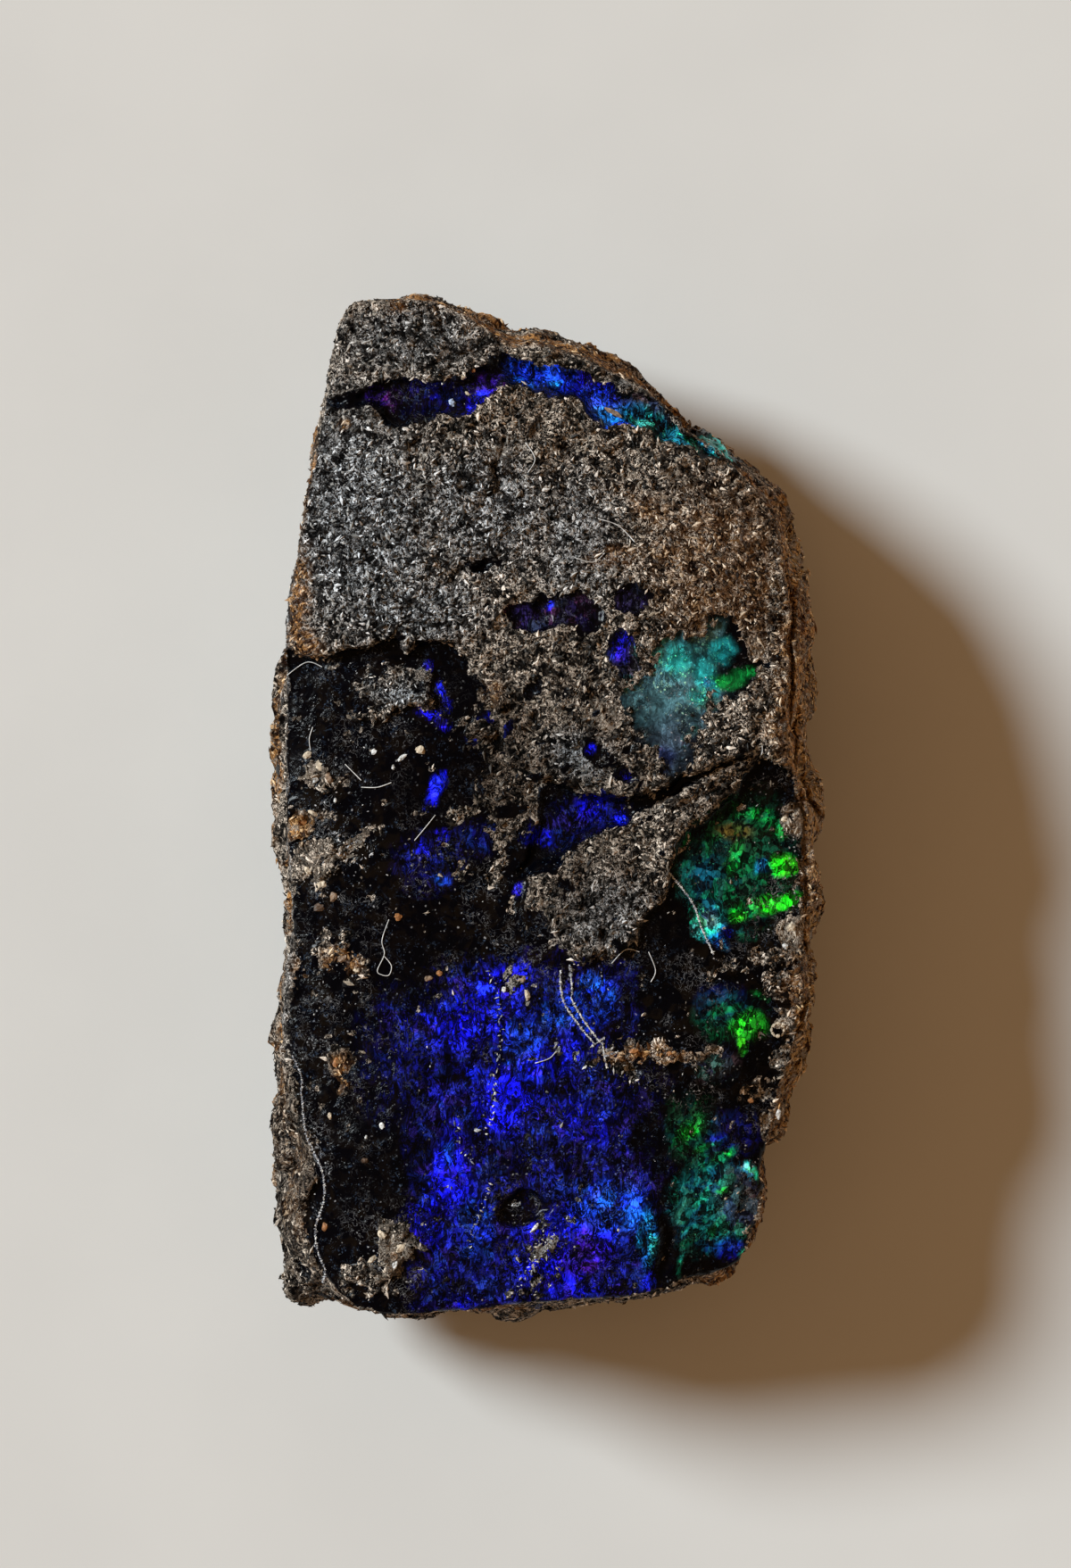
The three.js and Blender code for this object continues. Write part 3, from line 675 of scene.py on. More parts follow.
class Sketch:
    """A material's node tree, with short calls that add and link nodes."""

    def __init__(self, name: str) -> None:
        """Starts an empty material with an output.

        Args:
            name: The material's name.
        """
        self.material = bpy.data.materials.new(name)
        self.material.use_nodes = True
        self.tree = self.material.node_tree
        self.tree.nodes.clear()
        self.output = self.tree.nodes.new("ShaderNodeOutputMaterial")

    def add(self, kind: str, **settings: object) -> bpy.types.Node:
        """Adds a node.

        Args:
            kind: The node's type without its ShaderNode prefix.
            **settings: Values of the node's own properties.

        Returns:
            The new node.
        """
        node = self.tree.nodes.new("ShaderNode" + kind)
        for key, value in settings.items():
            setattr(node, key, value)
        return node

    def put(self, value: object, socket: bpy.types.NodeSocket) -> None:
        """Links an output to a socket, or sets the socket's value."""
        if isinstance(value, bpy.types.NodeSocket):
            self.tree.links.new(value, socket)
        elif isinstance(value, tuple) and socket.type == "RGBA":
            socket.default_value = (*value, 1.0)[:4]
        else:
            socket.default_value = value

    def math(self, operation: str, *values: object, clamp: bool = False) -> bpy.types.NodeSocket:
        """Adds a Math node and returns its output."""
        node = self.add("Math", operation=operation, use_clamp=clamp)
        for value, socket in zip(values, node.inputs):
            self.put(value, socket)
        return node.outputs[0]

    def scale(self, value: object, low: float, high: float, to_low: float = 0.0, to_high: float = 1.0,
              smooth: bool = True) -> bpy.types.NodeSocket:
        """Maps a value from one range to another, held at its ends."""
        node = self.add("MapRange", interpolation_type="SMOOTHSTEP" if smooth else "LINEAR")
        names = ("Value", "From Min", "From Max", "To Min", "To Max")
        for name, item in zip(names, (value, low, high, to_low, to_high)):
            self.put(item, node.inputs[name])
        return node.outputs[0]

    def mix(self, share: object, first: object, second: object, blend: str = "MIX") -> bpy.types.NodeSocket:
        """Mixes two colours and returns the result."""
        node = self.add("Mix", data_type="RGBA", blend_type=blend)
        self.put(share, node.inputs[0])
        self.put(first, node.inputs[6])
        self.put(second, node.inputs[7])
        return node.outputs[2]

    def ramp(self, value: object, stops: Stops, constant: bool = False) -> bpy.types.NodeSocket:
        """Adds a colour ramp and returns its colour."""
        node = self.add("ValToRGB")
        if constant:
            node.color_ramp.interpolation = "CONSTANT"
        elements = node.color_ramp.elements
        while len(elements) < len(stops):
            elements.new(0.5)
        for element, (place, colour) in zip(elements, stops):
            element.position = place
            element.color = (*colour, 1.0)
        self.put(value, node.inputs[0])
        return node.outputs[0]

    def millimetres(self, scale: Triple = (1.0, 1.0, 1.0), turn: float = 0.0) -> bpy.types.NodeSocket:
        """The object's own coordinates in millimetres, stretched and turned about Z."""
        place = self.add("TexCoord").outputs["Object"]
        node = self.add("Mapping")
        self.put(place, node.inputs["Vector"])
        node.inputs["Scale"].default_value = tuple(s / MM for s in scale)
        node.inputs["Rotation"].default_value = (0.0, 0.0, math.radians(turn))
        return node.outputs[0]

    def noise(self, vector: object, size: float, detail: float = 3.0, distortion: float = 0.0,
              roughness: float = 0.5) -> bpy.types.NodeSocket:
        """Adds a noise whose lumps have the given size in millimetres."""
        node = self.add("TexNoise")
        self.put(vector, node.inputs["Vector"])
        node.inputs["Scale"].default_value = 1.0 / size
        node.inputs["Detail"].default_value = detail
        node.inputs["Roughness"].default_value = roughness
        node.inputs["Distortion"].default_value = distortion
        return node.outputs[0]

    def bend(self, vector: object, size: float, amount: float) -> bpy.types.NodeSocket:
        """Shakes coordinates by up to an amount in millimetres, so that a pattern read from them wanders."""
        node = self.add("TexNoise")
        self.put(vector, node.inputs["Vector"])
        node.inputs["Scale"].default_value = 1.0 / size
        node.inputs["Detail"].default_value = 2.0
        shift = self.add("VectorMath", operation="MULTIPLY_ADD")
        self.put(node.outputs["Color"], shift.inputs[0])
        shift.inputs[1].default_value = (amount, amount, amount)
        self.put(vector, shift.inputs[2])
        return shift.outputs[0]

    def lines(self, vector: object, size: float, width: float,
              distortion: float = 0.0) -> bpy.types.NodeSocket:
        """Thin wandering lines, 1 on a line and 0 away from it."""
        level = self.noise(vector, size, 2.0, distortion)
        away = self.math("ABSOLUTE", self.math("SUBTRACT", level, 0.5))
        return self.scale(away, 0.0, width, 1.0, 0.0)

    def times(self, *values: object) -> bpy.types.NodeSocket:
        """Multiplies numbers."""
        total = values[0]
        for value in values[1:]:
            total = self.math("MULTIPLY", total, value)
        return total

    def cells(self, vector: object, size: float, feature: str = "F1") -> bpy.types.Node:
        """Adds Voronoi cells of the given size in millimetres."""
        node = self.add("TexVoronoi", feature=feature)
        self.put(vector, node.inputs["Vector"])
        node.inputs["Scale"].default_value = 1.0 / size
        return node

    def parts(self, cells: bpy.types.Node) -> bpy.types.bpy_prop_collection:
        """Three random numbers for each cell, out of the cell's random colour."""
        node = self.add("SeparateColor")
        self.put(cells.outputs["Color"], node.inputs[0])
        return node.outputs

    def attribute(self, name: str) -> bpy.types.Node:
        """Reads a value stored on the mesh."""
        return self.add("Attribute", attribute_name=name)

    def value(self, name: str) -> bpy.types.NodeSocket:
        """Reads a number stored on the mesh."""
        return self.attribute(name).outputs["Fac"]

    def bump(self, height: object, depth_mm: float, strength: float = 1.0) -> bpy.types.NodeSocket:
        """Turns a height from 0 to 1 into a normal."""
        node = self.add("Bump")
        node.inputs["Strength"].default_value = strength
        node.inputs["Distance"].default_value = depth_mm * MM
        self.put(height, node.inputs["Height"])
        return node.outputs[0]

    def finish(self, **inputs: object) -> bpy.types.Material:
        """Adds the surface shader, sets its named inputs and returns the material."""
        shader = self.add("BsdfPrincipled")
        for key, value in inputs.items():
            self.put(value, shader.inputs[key.replace("_", " ")])
        self.tree.links.new(shader.outputs[0], self.output.inputs["Surface"])
        return self.material


@dataclass(frozen=True)
class StoneFinish:
    """The finish of the whole stone: ironstone, potch and the opal's play of colour, with painted light,
    shade and glints.
    """

    gap_shade: Rgb = (0.003, 0.0027, 0.0027)
    brown: Rgb = (0.015, 0.012, 0.010)
    grey: Rgb = (0.088, 0.082, 0.076)
    cream: Rgb = (0.55, 0.51, 0.45)
    pale_and_ridge_highlight: Rgb = (0.85, 0.82, 0.76)
    rust_deep: Rgb = (0.075, 0.026, 0.009)
    rust_bright: Rgb = (0.74, 0.36, 0.12)
    rust_pale_and_painted_sunlit: Rgb = (0.95, 0.56, 0.22)
    potch: Rgb = (0.0008, 0.0009, 0.0020)
    potch_brown: Rgb = (0.0060, 0.0040, 0.0028)
    dust: Rgb = (0.62, 0.62, 0.64)
    # The colour of the painted glints.
    painted_glint_gain: Rgb = (4.0, 3.0, 1.6)
    painted_glint_floor: Rgb = (0.035, 0.055, 0.09)
    hues: Stops = field(default_factory=lambda: [
        (0.0, (0.6, 0.5, 0.85)), (0.3, (1.0, 1.0, 1.0)), (0.65, (0.9, 1.6, 1.0)), (0.85, (2.4, 1.0, 0.9)),
    ])
    grain_mm: float = 0.15
    rock_relief_mm: float = 0.36
    opal_relief_mm: float = 0.06

    def ironstone(self, s: Sketch, place: bpy.types.NodeSocket) -> SocketPair:
        """The granular ironstone, painted lighter on its lumps and ridges and with painted shade in its gaps
        and pits.

        Args:
            s: The sketch to draw in.
            place: Coordinates in millimetres.

        Returns:
            Its colour and its height from 0 to 1.
        """
        bent = s.bend(place, 0.5, 0.5)
        grain = s.cells(bent, self.grain_mm)
        tone = s.parts(grain)
        lump = s.noise(bent, 0.5, 4.0, 0.5, 0.62)
        broad = s.noise(place, 2.6, 3.0, 0.6)
        # The tone rises with the lumps' height: painted light on their tops and painted shade in the hollows
        # between them.
        mood = s.math("ADD", s.times(tone[0], 0.38), s.times(lump, 0.55))
        mood = s.math("ADD", mood, s.times(broad, 0.25))
        base = s.ramp(mood, [(0.48, self.gap_shade), (0.57, self.brown), (0.665, self.grey), (0.755, self.cream),
                             (0.82, self.pale_and_ridge_highlight)])
        coarse = s.lines(bent, 0.34, 0.08, 0.8)
        ridge = s.math("MAXIMUM", coarse, s.lines(s.bend(place, 0.3, 0.4), 0.22, 0.08, 1.2))
        ridge_highlight = s.times(s.scale(ridge, 0.40, 0.72), s.scale(s.noise(place, 0.7, 2.0), 0.42, 0.54))
        # Painted highlight along the raised ridges; the same pale colour also serves the cream crust.
        base = s.mix(ridge_highlight, base, self.pale_and_ridge_highlight)
        shaded_pit = s.scale(s.noise(s.bend(place, 0.25, 0.25), 0.26, 3.0), 0.51, 0.46)
        shaded_pit = s.times(shaded_pit, s.scale(ridge, 0.9, 0.4))
        # Painted shade in the sunken pits.
        base = s.mix(s.times(shaded_pit, 0.95), base, self.gap_shade)
        # The pale value is cream crust, and painted light on the rims.
        pale_share = s.times(s.value("pale"), s.scale(s.noise(bent, 0.28, 2.0), 0.40, 0.54))
        base = s.mix(pale_share, base, s.mix(tone[2], self.cream, self.pale_and_ridge_highlight))
        warm = s.mix(1.0, base, (1.10, 0.97, 0.87), "MULTIPLY")
        cool = s.mix(1.0, base, (0.90, 1.00, 1.16), "MULTIPLY")
        base = s.mix(s.value("cool"), warm, cool)
        # The brightest rust serves pale crust and the painted sunlight on the shaded right side.
        rust_top = s.mix(s.value("pale"), self.rust_bright, self.rust_pale_and_painted_sunlit)
        rust = s.mix(s.scale(mood, 0.50, 0.64), self.rust_deep, rust_top)
        rust_share = s.times(s.value("rust"), s.scale(s.noise(place, 0.4, 3.0), 0.38, 0.58, 0.2, 1.0))
        base = s.mix(rust_share, base, rust)
        # The dark value also holds painted shade in the crevices.
        base = s.mix(s.times(s.value("dark"), 0.85), base, s.mix(1.0, base, (0.22, 0.19, 0.17), "MULTIPLY"))
        height = s.math("ADD", s.times(lump, 0.55), s.times(ridge, 0.55))
        sunk = s.math("ADD", s.times(grain.outputs["Distance"], 0.3), s.times(shaded_pit, 0.4))
        return base, s.math("SUBTRACT", height, sunk)

    def opal(self, s: Sketch, place: bpy.types.NodeSocket) -> SocketPair:
        """The dark potch, the colours that play in it and the painted glints on them.

        Args:
            s: The sketch to draw in.
            place: Coordinates in millimetres.

        Returns:
            Its colour and its height from 0 to 1.
        """
        bent = s.bend(place, 1.1, 1.2)
        broad = s.noise(bent, 0.9, 2.0, 0.8, 0.5)
        slant = s.bend(s.millimetres((1.0, 0.5, 1.0), -32.0), 0.7, 0.8)
        fine = s.noise(slant, 0.16, 2.0, 1.0, 0.5)
        crease = s.lines(bent, 0.6, 0.03, 0.6)
        crease = s.math("MAXIMUM", crease, s.times(s.lines(slant, 0.5, 0.03, 1.5), 0.8))
        shard = s.parts(s.cells(s.bend(place, 0.6, 0.8), 0.6))
        stroke = s.lines(s.bend(slant, 0.5, 0.9), 0.40, 0.07, 1.8)
        sliver = s.parts(s.cells(s.bend(s.millimetres((1.0, 0.4, 1.0), 24.0), 0.5, 0.5), 0.38))
        swirl = s.noise(s.bend(slant, 0.8, 1.0), 0.42, 2.0, 2.4, 0.5)
        foil = s.math("ADD", s.scale(broad, 0.43, 0.57, 0.06, 0.95), s.scale(stroke, 0.15, 0.7))
        foil = s.times(foil, s.scale(shard[0], 0.1, 0.9, 0.45, 1.4), s.scale(sliver[0], 0.1, 0.9, 0.4, 1.6),
                       s.scale(crease, 0.1, 0.9, 1.0, 0.15), s.scale(swirl, 0.43, 0.57, 0.16, 1.75))
        chip_place = s.bend(place, 0.45, 0.6)
        facet = s.parts(s.cells(chip_place, 0.36))
        edge = s.cells(chip_place, 0.36, "DISTANCE_TO_EDGE").outputs[0]
        chip = s.times(s.scale(facet[0], 0.35, 0.8, 0.10, 1.6), s.scale(edge, 0.02, 0.10, 0.3, 1.0),
                       s.scale(fine, 0.36, 0.55, 0.4, 1.3))
        chip = s.math("ADD", chip, s.times(s.lines(slant, 0.55, 0.035, 1.0), 0.7))
        milk = s.times(s.scale(broad, 0.4, 0.6, 0.5, 1.1), s.scale(facet[0], 0.1, 0.9, 0.6, 1.3),
                       s.scale(crease, 0.1, 0.9, 1.0, 0.6))
        bright = s.mix(s.value("facet"), foil, chip)
        bright = s.mix(s.times(s.value("milk"), 0.68), bright, milk)
        fire = s.attribute("fire").outputs["Color"]
        hue = s.ramp(shard[1], self.hues, constant=True)
        hued = s.mix(1.0, fire, hue, "MULTIPLY")
        glow = s.mix(1.0, s.mix(s.value("milk"), hued, fire), bright, "MULTIPLY")
        # Painted glints: dots and curls of brightened opal colour stand in for reflections of the key light;
        # the same cells also place the dust specks.
        spark = s.cells(s.bend(place, 0.3, 0.2), 0.15)
        chance = s.parts(spark)
        dot = s.scale(spark.outputs["Distance"], 0.16, 0.36, 1.0, 0.0)
        glint_cluster = s.scale(s.noise(place, 1.1, 3.0), 0.46, 0.58)
        rarest = s.scale(s.value("milk"), 0.0, 1.0, 0.84, 0.70)
        glint_share = s.times(s.scale(chance[0], rarest, 0.93), glint_cluster)
        painted_glint = s.mix(1.0, s.mix(1.0, fire, self.painted_glint_gain, "MULTIPLY"), self.painted_glint_floor, "ADD")
        glint_curl = s.lines(s.bend(place, 0.4, 0.7), 0.42, 0.022, 1.5)
        glint_curl = s.times(glint_curl, s.scale(s.noise(place, 0.33, 2.0), 0.51, 0.58), glint_cluster)
        glow = s.mix(s.math("MAXIMUM", s.times(dot, glint_share), s.times(glint_curl, 0.85)), glow, painted_glint)
        brown = s.scale(s.noise(bent, 0.6, 4.0, 0.4), 0.45, 0.62)
        brown = s.times(brown, s.scale(s.value("dirt"), 0.0, 0.6, 0.35, 1.0))
        potch = s.mix(brown, self.potch, self.potch_brown)
        dusty = s.math("ADD", s.times(s.value("dirt"), 0.6), 0.04)
        hair = s.times(s.lines(s.bend(place, 0.35, 0.4), 0.36, 0.022, 1.2),
                       s.scale(s.noise(place, 1.5, 3.0), 0.50, 0.60), dusty)
        specks = s.times(dot, s.scale(chance[1], 0.9, 0.97), s.scale(dusty, 0.0, 0.6, 0.12, 1.0))
        base = s.mix(1.0, potch, glow, "ADD")
        base = s.mix(s.math("MAXIMUM", s.times(hair, 0.8), s.times(specks, 0.9)), base, self.dust)
        crackle = s.noise(bent, 0.2, 2.0, 1.5)
        crackle = s.times(crackle, s.scale(s.noise(place, 0.5, 3.0), 0.48, 0.60, 0.06, 1.0))
        height = s.math("ADD", s.times(s.noise(bent, 0.9, 2.0, 1.0), 0.5), s.times(crackle, 0.5))
        return base, height

    def material(self) -> bpy.types.Material:
        """Builds the stone's material."""
        s = Sketch("boulder_opal_surface")
        place = s.millimetres()
        rock, rock_height = self.ironstone(s, place)
        opal, opal_height = self.opal(s, place)
        shaken = s.math("SUBTRACT", s.noise(place, 0.22, 3.0), 0.5)
        ragged = s.math("MULTIPLY_ADD", shaken, 1.5, s.value("ironstone"))
        rocky = s.scale(ragged, 0.42, 0.58)
        base = s.mix(rocky, opal, rock)
        rough = s.scale(rocky, 0.0, 1.0, 0.17, 0.75, False)
        rock_normal = s.bump(rock_height, self.rock_relief_mm)
        opal_normal = s.bump(opal_height, self.opal_relief_mm)
        normal = s.add("Mix", data_type="VECTOR")
        s.put(rocky, normal.inputs[0])
        s.put(opal_normal, normal.inputs[4])
        s.put(rock_normal, normal.inputs[5])
        return s.finish(Base_Color=base, Roughness=rough, Normal=normal.outputs[1], IOR=1.45,
                        Specular_IOR_Level=0.08)


@dataclass(frozen=True)
class GrainFinish:
    """The finish of loose and half-buried sand grains."""

    name: str
    stops: Stops = field(default_factory=lambda: [
        (0.0, (0.003, 0.003, 0.003)), (0.40, (0.013, 0.0115, 0.010)), (0.63, (0.075, 0.069, 0.062)),
        (0.80, (0.42, 0.39, 0.34)), (0.94, (0.95, 0.93, 0.89)),
    ])
    pale: Rgb = (0.82, 0.76, 0.66)
    rust: Stops = field(default_factory=lambda: [
        (0.0, (0.03, 0.012, 0.005)), (0.45, (0.22, 0.090, 0.026)), (0.70, (0.68, 0.34, 0.10)),
        (1.0, (0.95, 0.68, 0.36)),
    ])

    def material(self) -> bpy.types.Material:
        """Builds the grains' material, a tone for each grain."""
        s = Sketch(self.name)
        place = s.millimetres()
        base = s.ramp(s.value("tone"), self.stops)
        # The pale value is cream crust, and painted light on the rims.
        base = s.mix(s.times(s.value("pale"), 0.55), base, self.pale)
        cool = s.mix(1.0, base, (0.92, 1.0, 1.12), "MULTIPLY")
        warm = s.mix(1.0, base, (1.07, 0.96, 0.86), "MULTIPLY")
        base = s.mix(s.value("cool"), warm, cool)
        rusty = s.math("ADD", s.value("tone"), s.times(s.value("pale"), 0.2))
        base = s.mix(s.times(s.value("rust"), 0.85), base, s.ramp(rusty, self.rust))
        # The dark value also holds painted shade in the crevices.
        base = s.mix(s.times(s.value("dark"), 0.8), base, s.mix(1.0, base, (0.16, 0.14, 0.12), "MULTIPLY"))
        speck = s.scale(s.noise(place, 0.06, 2.0), 0.35, 0.7, 0.7, 1.2)
        base = s.mix(1.0, base, speck, "MULTIPLY")
        return s.finish(Base_Color=base, Roughness=0.5, Normal=s.bump(s.noise(place, 0.04, 2.0), 0.012),
                        Specular_IOR_Level=0.25)


BRIGHT_STOPS = [
    (0.0, (0.10, 0.12, 0.17)), (0.3, (0.34, 0.40, 0.52)), (0.7, (0.76, 0.86, 0.98)), (1.0, (0.90, 0.97, 1.0)),
]


@dataclass(frozen=True)
class PebbleFinish:
    """The finish of the single large grains, each in its own colour."""

    def material(self) -> bpy.types.Material:
        """Builds the large grains' material."""
        s = Sketch("large_grain")
        place = s.millimetres()
        mottle = s.scale(s.noise(place, 0.12, 3.0), 0.35, 0.65, 0.55, 1.2)
        base = s.mix(1.0, s.attribute("tint").outputs["Color"], mottle, "MULTIPLY")
        return s.finish(Base_Color=base, Roughness=0.5, Normal=s.bump(s.noise(place, 0.07, 3.0), 0.03))


@dataclass(frozen=True)
class LintFinish:
    """The finish of the lint fibres."""

    colour: Rgb = (0.85, 0.85, 0.84)

    def material(self) -> bpy.types.Material:
        """Builds the fibres' material."""
        s = Sketch("lint_fibre")
        tone = s.scale(s.noise(s.millimetres(), 0.3, 2.0), 0.35, 0.65, 0.7, 1.1)
        return s.finish(Base_Color=s.mix(1.0, self.colour, tone, "MULTIPLY"), Roughness=0.6)


# ---------------------------------------------------------------------------------------------
# The stone
# ---------------------------------------------------------------------------------------------


def place_new(name: str, data: bpy.types.ID) -> bpy.types.Object:
    """Makes an object of some data, puts it into the scene and returns it."""
    obj = bpy.data.objects.new(name, data)
    bpy.context.scene.collection.objects.link(obj)
    return obj


def plain_mesh(obj: bpy.types.Object, name: str) -> bpy.types.Object:
    """Turns an object's evaluated shape into a plain mesh object and removes the original.

    Args:
        obj: The object with live modifiers.
        name: The new object's name.

    Returns:
        The new object, at the origin.
    """
    bpy.context.view_layer.update()
    graph = bpy.context.evaluated_depsgraph_get()
    mesh = bpy.data.meshes.new_from_object(obj.evaluated_get(graph))
    obj.modifiers.clear()
    bpy.data.objects.remove(obj)
    mesh.name = name
    return place_new(name, mesh)


def count_triangles(obj: bpy.types.Object) -> int:
    """How many triangles a mesh object has."""
    return sum(len(face.vertices) - 2 for face in obj.data.polygons)


@dataclass
class Stone:
    """The stone itself: one closed surface, fine on the opal face and coarser elsewhere.

    Attributes:
        source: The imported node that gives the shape.
        voxel_mm: The size of the mesh's squares away from the face.
        face_from_mm: The height above which an upward surface belongs to the face.
        face_lean: How much a square of the face points up, at least.
        plate_ledge: The height and reach of the step at the plate's edge.
        island_ledge: The height and reach of the step at the great island's edge.
        seam_mm: How deep the seam lies.
        milky_mm: How deep the milky patch lies.
        wedge_mm: How deep the wedge lies.
        slope_mm: How far the lower left strip falls away.
    """

    source: bpy.types.Object
    voxel_mm: float = 0.275
    face_from_mm: float = 4.0
    face_lean: float = 0.38
    plate_ledge: tuple[float, float] = (0.75, 1.3)
    island_ledge: tuple[float, float] = (0.45, 0.9)
    seam_mm: float = 0.42
    milky_mm: float = 0.12
    wedge_mm: float = 0.3
    slope_mm: float = 0.25
    finish: StoneFinish = field(default_factory=StoneFinish)
    noise: RockNoise = field(default_factory=lambda: RockNoise(11))
    values: dict[str, np.ndarray] = field(default_factory=dict)

    def build(self) -> bpy.types.Object:
        """Builds and dresses the stone."""
        stone = self.even_mesh()
        self.refine_face(stone)
        self.shape(stone)
        self.store(stone)
        stone.data.materials.clear()
        stone.data.materials.append(self.finish.material())
        stone.data.shade_smooth()
        return stone

    def even_mesh(self) -> bpy.types.Object:
        """Copies the node's shape and gives it an even mesh of squares."""
        mesh = self.source.data.copy()
        bm = bmesh.new()
        bm.from_mesh(mesh)
        bmesh.ops.remove_doubles(bm, verts=bm.verts, dist=1e-6)
        bm.to_mesh(mesh)
        bm.free()
        rough = place_new("even", mesh)
        remesh = rough.modifiers.new("even", "REMESH")
        remesh.mode = "VOXEL"
        remesh.voxel_size = self.voxel_mm * MM
        return plain_mesh(rough, "boulder_opal")

    def refine_face(self, stone: bpy.types.Object) -> None:
        """Halves the squares of the opal face."""
        bm = bmesh.new()
        bm.from_mesh(stone.data)
        bm.normal_update()
        upward = [f for f in bm.faces if f.normal.z > self.face_lean]
        chosen = [f for f in upward if f.calc_center_median().z > self.face_from_mm * MM]
        edges = list({edge for face in chosen for edge in face.edges})
        bmesh.ops.subdivide_edges(bm, edges=edges, cuts=1, use_grid_fill=True)
        bm.to_mesh(stone.data)
        bm.free()

    def shape(self, stone: bpy.types.Object) -> None:
        """Moves the surface: ledges, hollows and grain on the face, fractures on the sides."""
        mesh = stone.data
        count = len(mesh.vertices)
        place = np.empty(count * 3)
        normal = np.empty(count * 3)
        mesh.vertices.foreach_get("co", place)
        mesh.vertex_normals.foreach_get("vector", normal)
        place = place.reshape(-1, 3) / MM
        normal = normal.reshape(-1, 3)
        place[:, 2] += self.filled_edge(place, normal)
        shaken = self.evened(mesh, normal[:, 2]) + 0.30 * self.noise.layers(place + 81.0, 1.4, 3, 0.7)
        face = rise(0.35, 0.65, shaken) * rise(self.face_from_mm - 0.5, self.face_from_mm + 0.5, place[:, 2])
        lift = self.read_face(place, face)
        side = self.read_side(place)
        off_floor = rise(0.15, 1.2, place[:, 2])
        place += normal * (side * (1.0 - face) * off_floor)[:, None]
        place[:, 2] += lift * face
        place[:, 2] = np.maximum(place[:, 2], 0.0)
        mesh.vertices.foreach_set("co", (place * MM).ravel())
        mesh.update()

    @staticmethod
    def filled_edge(place: np.ndarray, normal: np.ndarray) -> np.ndarray:
        """How far to raise the worn right edge of the face, so that it falls off only at its rim."""
        x, y, z = place.T
        beside = (x > 8.6) & (x < 9.4) & (normal[:, 2] > 0.6) & (z > 4.0)
        order = np.argsort(y[beside])
        level = np.interp(y, y[beside][order], z[beside][order]) - 0.30 * (x - 9.0)
        share = rise(9.3, 9.9, x) * rise(0.10, 0.40, normal[:, 2]) * rise(12.5, 9.5, y) * rise(-13.0, -9.5, y)
        return np.clip(level - z, 0.0, 1.6) * share * rise(4.0, 5.5, z)

    @staticmethod
    def evened(mesh: bpy.types.Mesh, value: np.ndarray, rounds: int = 5) -> np.ndarray:
        """Averages each point's value with its neighbours' a few times."""
        edges = np.empty(len(mesh.edges) * 2, dtype=np.int64)
        mesh.edges.foreach_get("vertices", edges)
        first, second = edges.reshape(-1, 2).T
        count = len(value)
        near = 1.0 + np.bincount(first, minlength=count) + np.bincount(second, minlength=count)
        for _ in range(rounds):
            total = np.bincount(first, weights=value[second], minlength=count)
            total += np.bincount(second, weights=value[first], minlength=count)
            value = (value + total) / near
        return value

    def warp(self, place: np.ndarray) -> tuple[np.ndarray, np.ndarray]:
        """The face's x and y, shaken so that the drawn edges look broken."""
        flat = place * np.array([1.0, 1.0, 0.0])
        x = place[:, 0] + 0.32 * self.noise.layers(flat + 3.1, 1.7, 3, 0.55)
        y = place[:, 1] + 0.32 * self.noise.layers(flat + 41.7, 1.7, 3, 0.55)
        return x, y

    @staticmethod
    def ledge(depth: np.ndarray, height: float, reach: float) -> np.ndarray:
        """A sharp step up at an outline, which fades away from it on both sides."""
        return 0.5 * height * np.tanh(depth / 0.09) * np.exp(-np.abs(depth) / reach)

    def read_face(self, place: np.ndarray, face: np.ndarray) -> np.ndarray:
        """Works out what lies where on the opal face.

        Args:
            place: The surface points in millimetres.
            face: How much each point belongs to the face.

        Returns:
            How far to lift each point. The material's values are kept in self.values.
        """
        x, y = self.warp(place)
        flat = place * np.array([1.0, 1.0, 0.35])
        grounds = {ground: np.zeros(len(x)) for ground in Ground}
        for tint in TINTS:
            grounds[tint.ground] = np.maximum(grounds[tint.ground], tint.share(x, y))
        fray = 0.20 * self.noise.at(flat + 13.0, 1.1) + 0.20 * self.noise.at(flat + 19.0, 0.52)
        fray += 0.12 * self.noise.at(flat + 27.0, 0.28)
        broken = self.noise.layers(flat + 43.0, 1.5, 3, 0.7)
        milky = MILKY.depth(x, y) + 2.4 * fray + 0.45 * self.noise.at(flat + 29.0, 0.36) - 0.1
        rock, lift = self.lay_rock(place, x, y, fray, broken)
        opal, sunk = self.open_opal(x, y, fray, milky)
        lift -= sunk

        patchy = rise(-0.25, 0.45, self.noise.layers(flat + 47.0, 2.4, 2, 0.6))
        dirt = grounds[Ground.DIRT] * (0.30 + 0.66 * patchy)
        rock = self.crumble(rock, flat, y, dirt, grounds[Ground.DARK])
        ironstone = rise(-0.1, 0.1, rock) * (1.0 - rise(-0.1, 0.1, opal))
        crevice = rise(0.62, 1.0, self.noise.folds(flat + 51.0, 1.1))
        crevice = crevice * rise(-0.1, 0.3, self.noise.at(flat + 57.0, 2.6))
        lift += self.relief(flat, x, ironstone, crevice)

